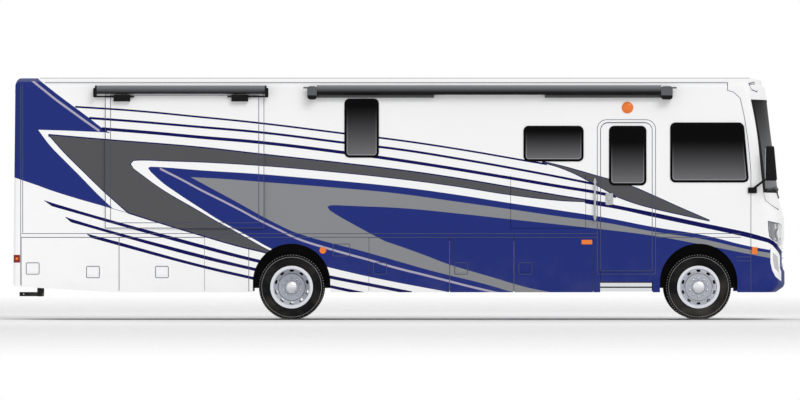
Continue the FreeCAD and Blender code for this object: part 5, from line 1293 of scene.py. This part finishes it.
@dataclass
class BayLatches:
    """A square paddle latch in each pan of the storage doors."""

    wide: float = 0.196
    tall: float = 0.174
    middle_z: float = 0.776
    drop: float = 0.053
    inset: float = 0.07
    far_inset: float = 0.29
    floor: float = 0.014
    doors: tuple[tuple[str, int, tuple[str, ...]], ...] = (
        ("r1", RIGHT, ("rear", "front")), ("r2", RIGHT, ("middle",)), ("r3", RIGHT, ("rear",)),
        ("r4", RIGHT, ("rear",)),
        ("r5", RIGHT, ("rear",)), ("l1", LEFT, ("rear", "front")), ("l2", LEFT, ("middle",)), ("l3", LEFT, ("rear",)),
        ("l4", LEFT, ("rear",)))

    def paddle(self, x0: float, side: int, drop: float) -> Surface:
        """A pan cover nearly flush with the door, and a raised pull across it."""
        z0 = self.middle_z - drop - self.tall / 2
        edge = 0.004
        cover = plate(rounded_loop(x0 + edge, z0 + edge, x0 + self.wide - edge, z0 + self.tall - edge, 0.017), side,
                      WALL_Y - self.floor + 0.0005, WALL_Y - 0.003)
        pull = plate(rounded_loop(x0 + 0.03, z0 + 0.03, x0 + self.wide - 0.03, z0 + 0.085, 0.012), side,
                     WALL_Y - 0.004, WALL_Y + 0.002, 0.003)
        return cover.plus(pull)

    def ring(self, x0: float, side: int, drop: float) -> Surface:
        """A low bead round the pan."""
        z0 = self.middle_z - drop - self.tall / 2
        return outlined(rounded_loop(x0, z0, x0 + self.wide, z0 + self.tall, 0.02), side)

    def build(self, shop: Workshop) -> None:
        """Latches and the beads round their pans on each door."""
        for word, side, places in self.doors:
            low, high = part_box(f"bay_door_{word}")
            spots = {"rear": (low.x + self.inset, 0.0), "front": (high.x - self.far_inset - self.wide, self.drop),
                     "middle": ((low.x + high.x - self.wide) / 2, self.drop)}
            made = merged([self.paddle(spots[place][0], side, spots[place][1]) for place in places])
            shop.piece(f"bay_latch_{word}", made, f"bay_door_{word}", Look.PAINT)
            rings = merged([self.ring(spots[place][0], side, spots[place][1]) for place in places])
            shop.piece(f"latch_bead_{word}", rings, f"bay_door_{word}", Look.SEAM)


@dataclass
class EntryFittings:
    """Handle, grab bar, porch lamp and bright step edges by the entry door."""

    def porch_lamp(self) -> Surface:
        """A domed lens: rise is the square root of one less the squared radius share."""
        share = np.sin(np.linspace(math.pi / 2, 0.05, 10))
        rise = 0.03 * np.sqrt(1 - share ** 2)
        profile = [(0.087, -0.002), (0.087, 0.008)] + list(zip((0.082 * share).tolist(), (0.010 + rise).tolist()))
        return turned(tuple(profile), (along(627.6), -WALL_Y, above(107.6)), Axis.ACROSS, 48, outward=-1)

    def grab_bar(self) -> Surface:
        """A straight rod on two stand-offs with round feet."""
        x, low, high = along(595.0), above(220.5), above(178.4)
        y = -(WALL_Y + 0.05)
        parts = [rod((x, y, low), (x, y, high), 0.0165)]
        for z in (low + 0.05, high - 0.05):
            parts.append(rod((x, -WALL_Y + 0.001, z), (x, y, z), 0.013))
            parts.append(rod((x, -WALL_Y + 0.001, z), (x, -WALL_Y - 0.008, z), 0.028, 24))
        return merged(parts)

    def handle(self) -> Surface:
        """A rounded plate with a paddle and a round lock below."""
        x0, x1, z0, z1 = along(605.6), along(613.2), above(204.9), above(193.2)
        base = plate(rounded_loop(x0, z0, x1, z1, 0.02), RIGHT, WALL_Y - 0.001, WALL_Y + 0.012, 0.004)
        paddle = plate(rounded_loop(x0 + 0.018, z0 + 0.07, x1 - 0.018, z1 - 0.018, 0.014), RIGHT, WALL_Y + 0.01,
                       WALL_Y + 0.026, 0.006)
        lock = turned(((0.016, 0.0), (0.016, 0.006), (0.012, 0.009)), ((x0 + x1) / 2, -(WALL_Y + 0.011), z0 + 0.036),
                      Axis.ACROSS,
                      24, outward=-1)
        return merged([base, paddle, lock])

    def step_edges(self) -> Surface:
        """Two bright ribbed strips along the step's nose."""
        parts = []
        for low, high in ((above(286.6), above(282.8)), (above(291.2), above(287.9))):
            parts.append(plate(rounded_loop(along(600.3), low, along(651.9), high, 0.008), RIGHT, WALL_Y - 0.002,
                               WALL_Y + 0.006, 0.003))
        return merged(parts)

    def build(self, shop: Workshop) -> None:
        """The pieces on the wall ride with the root, the handle with the door and the edges with the step."""
        shop.piece("porch_lamp", self.porch_lamp(), "root", Look.AMBER)
        shop.piece("grab_bar", self.grab_bar(), "root", Look.SATIN)
        shop.piece("door_handle", self.handle(), "entry_door", Look.SATIN)
        shop.piece("step_edges", self.step_edges(), "outer_step", Look.BRIGHT)


@dataclass
class WallTrim:
    """What else is fixed to the walls: awning's folded arms, hall window's bar, step's fascia and raked cab panes."""

    def arms(self) -> Surface:
        """Two flat arms under the awning's roll, folded against the wall."""
        parts = []
        for start, end in ((317.4, 434.0), (545.0, 661.0)):
            loop = rounded_loop(along(start), above(97.8), along(end), above(95.0), 0.006)
            parts.append(plate(loop, RIGHT, WALL_Y - 0.001, WALL_Y + 0.085, 0.004))
        return merged(parts)

    def bar(self) -> Surface:
        """The rail between the hall window's two sashes."""
        loop = rounded_loop(along(346.0), above(139.6), along(377.6), above(137.3), 0.004)
        return plate(loop, RIGHT, WALL_Y - 0.006, WALL_Y + 0.003, 0.002)

    def fascia(self) -> Surface:
        """The painted panel between the entry door and the folded step."""
        return plate(rounded_loop(3.029, 0.575, 3.816, 0.722, 0.02), RIGHT, WALL_Y - 0.0255, WALL_Y)

    def cab_pane(self) -> Surface:
        """The cab window's outer face: a rounded rectangle whose front edge leans forward towards its foot."""
        pane = Look.CAB_GLASS.value.panes[0]
        loop = rounded_loop(*pane.low, *pane.high, 0.08)
        share = (loop[:, 0] - pane.low[0]) / (pane.high[0] - pane.low[0])
        loop[:, 0] += pane.lean * (pane.high[1] - loop[:, 1]) * share
        return plate(loop, RIGHT, WALL_Y - 0.001, WALL_Y + 0.0098)

    def build(self, shop: Workshop) -> None:
        """All ride with the root."""
        shop.piece("cab_window_panes", self.cab_pane().plus(self.cab_pane().mirrored()), "root",
                   Look.CAB_GLASS)
        shop.piece("awning_arms", self.arms(), "root", Look.ARM)
        shop.piece("hall_window_bar", self.bar(), "root", Look.BLACK)
        shop.piece("step_fascia", self.fascia(), "root", Look.PAINT)


@dataclass
class Lamps:
    """Lamp parts: door marker, tail lamp bulbs, headlamp reflectors and clearance lamps at the roof's ends."""

    def marker(self) -> Surface:
        """A small oblong side marker with a soft edge."""
        loop = rounded_loop(along(581.6), above(244.4), along(592.3), above(239.8), 0.012)
        return plate(loop, RIGHT, WALL_Y - 0.001, WALL_Y + 0.012, 0.004)

    def bulbs(self) -> Surface:
        """A small dome on each tail lamp's outer side."""
        parts = []
        for side in (RIGHT, LEFT):
            centre = (along(17.0), side * (WALL_Y - 0.001), above(258.7))
            parts.append(turned(((0.021, 0.0), (0.02, 0.004), (0.015, 0.008), (0.006, 0.0105)), centre, Axis.ACROSS, 24,
                                outward=side))
        return merged(parts)

    def clearance(self, end: int, z: float, places: tuple[float, ...]) -> Surface:
        """Small lamps across the roof's end, each pressed on where a ray along the coach meets the shell.

        Args:
            end: 1 for the front, -1 for the rear.
            z: their height.
            places: how far each lies from the middle.

        Returns:
            The lamps.
        """
        shell = Shell("front_cap" if end > 0 else "rear_cap")
        parts = []
        for y in places:
            x = shell.meet((end * 7.0, y, z), (-end, 0, 0))[0]
            parts.append(turned(((0.001, 0.0), (0.03, 0.0), (0.03, 0.007), (0.02, 0.011), (0.008, 0.012)),
                                (x - end * 0.006, y, z),
                                Axis.ALONG, 20, outward=end))
        return merged(parts)

    def bowls(self) -> Surface:
        """Two round reflectors in each headlamp, pressed on where rays along the coach meet the lens."""
        lens = Shell("headlamps")
        profile = ((0.086, -0.02), (0.086, 0.003), (0.081, 0.008), (0.075, 0.004), (0.04, 0.007), (0.03, 0.004),
                   (0.012, 0.009))
        spots = [lens.facing((7.0, side * y, 1.3), (-1, 0, 0)) for side in (RIGHT, LEFT) for y in (0.9, 1.1)]
        return merged([dish(profile, place, normal) for place, normal in spots])

    def build(self, shop: Workshop) -> None:
        """The marker rides on the last storage door and the rest with the root."""
        shop.piece("headlamp_bowls", self.bowls(), "root", Look.BRIGHT)
        shop.piece("door_marker", self.marker(), "bay_door_r5", Look.AMBER)
        shop.piece("tail_bulbs", self.bulbs(), "root", Look.AMBER)
        shop.piece("front_clearance_lamps", self.clearance(1, 3.57, (-0.9, -0.16, 0.0, 0.16, 0.9)), "root",
                   Look.LENS)
        shop.piece("rear_clearance_lamps", self.clearance(-1, 3.45, (-1.1, -0.16, 0.0, 0.16, 1.1)), "root",
                   Look.RED_LENS)


@dataclass
class Mirrors:
    """Tall raked door mirrors: a rounded housing with a glass at the back, on one slanting arm from a wall block."""

    inner: float = 1.372
    outer: float = 1.6
    soft: float = 0.03
    head: Points = ((765.0, 180.8), (776.7, 180.8), (773.9, 146.0), (765.4, 146.0))
    foot: Points = ((748.0, 193.2), (757.0, 193.2), (757.0, 187.4), (748.0, 187.4))

    def slab(self, marks: Points, inner: float, outer: float, soft: float, steps: int = 5) -> Surface:
        """A four-cornered block across the coach with round edges: corners and ends follow quarter circles."""
        marks = np.array([(along(px), above(py)) for px, py in marks])
        middle = marks.mean(0)
        turn = np.linspace(0, math.pi / 2, steps)
        draw = np.concatenate([1 - np.sin(turn), 1 - np.sin(turn[::-1])]) * soft
        depth = np.concatenate([inner + soft * (1 - np.cos(turn)), outer - soft * (1 - np.cos(turn[::-1]))])
        rows = []
        for pull, y in zip(draw, depth):
            loop = []
            for number, mark in enumerate(marks):
                inward = np.sign(middle - mark)
                centre = mark + inward * soft
                sweep = math.pi + number * math.pi / 2 + turn
                loop.append(centre + (soft - pull) * np.stack([np.cos(sweep), np.sin(sweep)], 1))
            flat = np.vstack(loop)
            rows.append(np.stack([flat[:, 0], np.full(len(flat), -y), flat[:, 1]], 1))
        return lattice(np.array(rows), ring=True, caps=True)

    def glass(self) -> Surface:
        """A thin pane on the head's rear face, drawn in from its edges."""
        low, high = (np.array([along(px), above(py)]) for px, py in (self.head[0], self.head[3]))
        rows = []
        for back, inset in ((-0.004, 0.034), (0.003, 0.03)):
            row = []
            for y, up in ((self.inner, 0), (self.inner, 1), (self.outer, 1), (self.outer, 0)):
                spot = low + (high - low) * up
                inward = -1 if up else 1
                row.append((spot[0] + back, -(y + (inset if y == self.inner else -inset)),
                            spot[1] + inward * inset * 1.1))
            rows.append(row)
        return lattice(np.array(rows), ring=True, caps=True)

    def build(self, shop: Workshop) -> None:
        """Both mirrors stand for the CAD ones; the glasses are pieces of their own."""
        body = merged([
            self.slab(self.head, self.inner, self.outer, self.soft), self.slab(self.foot, 1.265, 1.33, 0.012),
            rod((along(766.8), -1.43, above(178.2)), (along(752.4), -1.31, above(189.6)), 0.0175)])
        glass = self.glass()
        shop.piece("mirror_housings", body.plus(body.mirrored()), "root", Look.BLACK, ("mirrors",))
        shop.piece("mirror_glasses", glass.plus(glass.mirrored()), "root", Look.MIRROR)


@dataclass
class Wipers:
    """Two pantograph wipers parked on the lower windshield."""

    pivots: tuple[float, ...] = (-0.3, 0.62)
    blade_half: float = 0.36
    pivot_z: float = 1.85
    blade_z: float = 1.985

    def wiper(self, pivot_y: float) -> Surface:
        """Arms from a pivot out to the middle of a blade that follows the glass."""
        glass = Shell("windshield")
        mask = Shell("front_cap")
        foot = mask.meet((7.0, pivot_y, self.pivot_z), (-1, 0, 0))
        middle_y = pivot_y - 0.42
        reach = np.linspace(-self.blade_half, self.blade_half, 13)
        blade = np.array([glass.meet((7.0, middle_y + share, self.blade_z + 0.06 * share),
                                     (-1, 0, 0)) for share in reach])
        blade[:, 0] += 0.012
        parts = [swept(blade, ((-0.006, -0.012), (0.006, -0.012), (0.009, 0.004), (-0.009, 0.004)), (1, 0, 0))]
        middle = tuple(blade[6] + [0.006, 0, 0])
        knee = (middle[0] * 0.4 + foot[0] * 0.6 + 0.014, middle_y * 0.4 + pivot_y * 0.6, self.pivot_z + 0.06)
        parts.append(rod((foot[0] - 0.01, foot[1], foot[2]), (foot[0] + 0.016, foot[1], foot[2]), 0.018))
        parts.append(rod((foot[0] + 0.012, foot[1], foot[2]), knee, 0.008))
        parts.append(rod(knee, middle, 0.007))
        return merged(parts)

    def build(self, shop: Workshop) -> None:
        """One piece on the shell."""
        shop.piece("wipers", merged([self.wiper(y) for y in self.pivots]), "root", Look.BLACK)


@dataclass
class CabSeats:
    """Two cab chairs: stuffed seat and back cushions on plinths."""

    seat_x: float = 3.95
    seat_y: float = 0.56
    seat_half: float = 0.26
    seat_len: float = 0.52
    seat_top: float = 1.70
    seat_thick: float = 0.15
    back_top: float = 2.45
    back_thick: float = 0.13
    trim: float = 0.02
    voxel: float = 0.012

    def cushion(self, low: tuple[float, float, float], high: tuple[float, float, float], crown: int) -> Surface:
        """A pillow form: a box whose faces swell by the product of cosines across them.

        Args:
            low: lowest corner.
            high: highest corner.
            crown: the axis number along which it swells.

        Returns:
            The closed surface.
        """
        low, high = np.array(low), np.array(high)
        middle, half = (low + high) / 2, (high - low) / 2
        turn = np.linspace(0, 2 * math.pi, 40, endpoint=False)
        rise = np.linspace(-1, 1, 15)
        square = 0.22
        ring_a = np.sign(np.cos(turn)) * np.abs(np.cos(turn)) ** square
        ring_b = np.sign(np.sin(turn)) * np.abs(np.sin(turn)) ** square
        size = (1 - np.abs(rise) ** 4) ** 0.5 * 0.12 + 0.88
        size[[0, -1]] = 0.8
        others = [axis for axis in range(3) if axis != crown]
        points = np.empty((len(rise), len(turn), 3))
        points[..., others[0]] = middle[others[0]] + half[others[0]] * size[:, None] * ring_a
        points[..., others[1]] = middle[others[1]] + half[others[1]] * size[:, None] * ring_b
        points[..., crown] = middle[crown] + half[crown] * 0.9 * rise[:, None]
        made = lattice(points, ring=True, caps=True)
        return made if crown != 1 else Surface(made.points, [face[::-1] for face in made.faces])

    def stuff(self, made: bpy.types.Object, cap: float = 0.014) -> None:
        """Lets the cushion swell as cloth under pressure, and holds each point within `cap` of where it was."""
        remesh = made.modifiers.new("remesh", "REMESH")
        remesh.mode, remesh.voxel_size = "VOXEL", self.voxel
        self.apply(made, remesh.name)
        before = np.empty(len(made.data.vertices) * 3)
        made.data.vertices.foreach_get("co", before)
        cloth = made.modifiers.new("cloth", "CLOTH")
        cloth.settings.use_pressure = True
        cloth.settings.uniform_pressure_force = 4.0
        cloth.settings.effector_weights.gravity = 0.0
        cloth.point_cache.frame_start, cloth.point_cache.frame_end = 1, 20
        scene = bpy.context.scene
        for step in range(1, 21):
            scene.frame_set(step)
        self.apply(made, cloth.name)
        scene.frame_set(1)
        after = np.empty_like(before)
        made.data.vertices.foreach_get("co", after)
        shift = (after - before).reshape(-1, 3)
        length = np.linalg.norm(shift, axis=1)[:, None]
        held = before.reshape(-1, 3) + shift * np.minimum(1.0, cap / np.maximum(length, 1e-9))
        made.data.vertices.foreach_set("co", held.reshape(-1))
        made.data.update()
        smooth = made.modifiers.new("rounded", "SUBSURF")
        smooth.levels = smooth.render_levels = 1

    def apply(self, made: bpy.types.Object, name: str) -> None:
        """Applies one modifier."""
        with bpy.context.temp_override(object=made, active_object=made, selected_objects=[made]):
            bpy.ops.object.modifier_apply(modifier=name)

    def build(self, shop: Workshop) -> None:
        """Cushions and plinths for both chairs stand for the CAD seats."""
        plinths = []
        for side, word in ((RIGHT, "right"), (LEFT, "left")):
            y0, y1 = side * self.seat_y - self.seat_half, side * self.seat_y + self.seat_half
            seat = self.cushion((self.seat_x, y0 + self.trim, self.seat_top - self.seat_thick + self.trim),
                                (self.seat_x + self.seat_len - self.trim, y1 - self.trim, self.seat_top - self.trim), 2)
            back = self.cushion((self.seat_x - self.back_thick, y0 + self.trim, self.seat_top - 0.05),
                                (self.seat_x - self.trim, y1 - self.trim, self.back_top - self.trim), 0)
            for name, surface in ((f"seat_cushion_{word}", seat), (f"back_cushion_{word}", back)):
                made = new_object(name, surface, shop.looks[Look.FABRIC])
                self.stuff(made)
                made.data.shade_smooth()
                shop.settle(made, "root")
                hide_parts("cab_seats")
            middle = side * self.seat_y
            plinths.append(turned(((0.17, 0.0), (0.17, 0.02), (0.1, 0.05), (0.1, 0.26), (0.16, 0.29), (0.16, 0.31)),
                                  (self.seat_x + 0.26, middle, 1.2505), Axis.UP, 32))
        shop.piece("seat_plinths", merged(plinths), "root", Look.BLACK)


@dataclass
class Studio:
    """A pale floor, even light and the camera of the side drawing."""

    # From 600 m away the side view still renders, but the turned views come out blank
    distance: float = 200.0
    lens: float = 592.2
    clip: tuple[float, float] = (1.0, 1500.0)
    eye_z: float = 1.8105
    floor_radius: float = 60.0
    floor_tone: Colour = (0.93, 0.93, 0.93)
    sky_strength: float = 0.68
    suns: tuple[tuple[str, float, tuple[float, float, float]], ...] = (
        ("key", 0.95, (-0.35, 0.8, -0.62)), ("fill", 0.5, (0.5, -0.7, -0.5)))

    def floor(self) -> None:
        """A round floor that fades out towards its edge."""
        surface = turned(((self.floor_radius, 0.0), (0.01, 0.001)), (0, 0, -0.0015), Axis.UP, 96)
        material = bpy.data.materials.new("studio_floor")
        material.use_nodes = True
        graph = Graph(material.node_tree)
        place = graph.add("ShaderNodeVectorMath", {0: graph.add("ShaderNodeTexCoord").outputs["Object"]},
                          operation="LENGTH")
        share = graph.remap(place.outputs["Value"], 9.0, self.floor_radius * 0.8, 0.0, 1.0)
        paper = graph.add("ShaderNodeBsdfDiffuse", {"Color": self.floor_tone})
        clear = graph.add("ShaderNodeBsdfTransparent")
        mixed = graph.add("ShaderNodeMixShader", {0: share, 1: paper.outputs[0], 2: clear.outputs[0]})
        graph.add("ShaderNodeOutputMaterial", {"Surface": mixed.outputs[0]})
        new_object("studio_floor", surface, material)

    def sky(self) -> None:
        """Even light all round; what the camera, mirrors and glass see is plain white."""
        world = bpy.data.worlds.new("studio")
        world.use_nodes = True
        graph = Graph(world.node_tree)
        path = graph.add("ShaderNodeLightPath")
        seen = graph.math("MAXIMUM", path.outputs["Is Camera Ray"], path.outputs["Is Transmission Ray"])
        seen = graph.math("MAXIMUM", seen, path.outputs["Is Glossy Ray"])
        strength = graph.math("MULTIPLY_ADD", seen, 1.0 - self.sky_strength, self.sky_strength)
        back = graph.add("ShaderNodeBackground", {"Color": (1.0, 1.0, 1.0), "Strength": strength})
        graph.add("ShaderNodeOutputWorld", {"Surface": back.outputs[0]})
        bpy.context.scene.world = world

    def lamps(self) -> None:
        """Two broad soft suns, from the right front and the left rear."""
        for name, power, aim in self.suns:
            data = bpy.data.lights.new(name, "SUN")
            data.energy, data.angle = power, math.radians(30)
            made = bpy.data.objects.new(name, data)
            made.rotation_mode = "QUATERNION"
            made.rotation_quaternion = Vector(aim).to_track_quat("-Z", "Y")
            bpy.context.scene.collection.objects.link(made)

    def camera(self) -> None:
        """A very long lens square to the right side, as a side elevation is drawn."""
        data = bpy.data.cameras.new("camera")
        data.type, data.lens, data.sensor_width = "PERSP", self.lens, 36.0
        data.clip_start, data.clip_end = self.clip
        made = bpy.data.objects.new("camera", data)
        made.location = (0.0, -self.distance, self.eye_z)
        made.rotation_euler = (math.pi / 2, 0, 0)
        bpy.context.scene.collection.objects.link(made)
        bpy.context.scene.camera = made

    def build(self) -> None:
        """Sets the whole stage."""
        self.floor()
        self.sky()
        self.lamps()
        self.camera()
        bpy.context.scene.view_settings.view_transform = "Standard"


def main() -> None:
    """Builds every sub-assembly in turn, then the stage."""
    logging.basicConfig(level=logging.INFO, format="%(message)s")
    shop = Workshop.opened()
    for part in (Body(), Tyres(), WheelTrim(), SeamLines(), BayLatches(), EntryFittings(), WallTrim(), Lamps(),
                 Mirrors(), Wipers(), CabSeats()):
        part.build(shop)
        LOG.info("%s done", type(part).__name__)
    Studio().build()


if __name__ == "__main__":
    main()
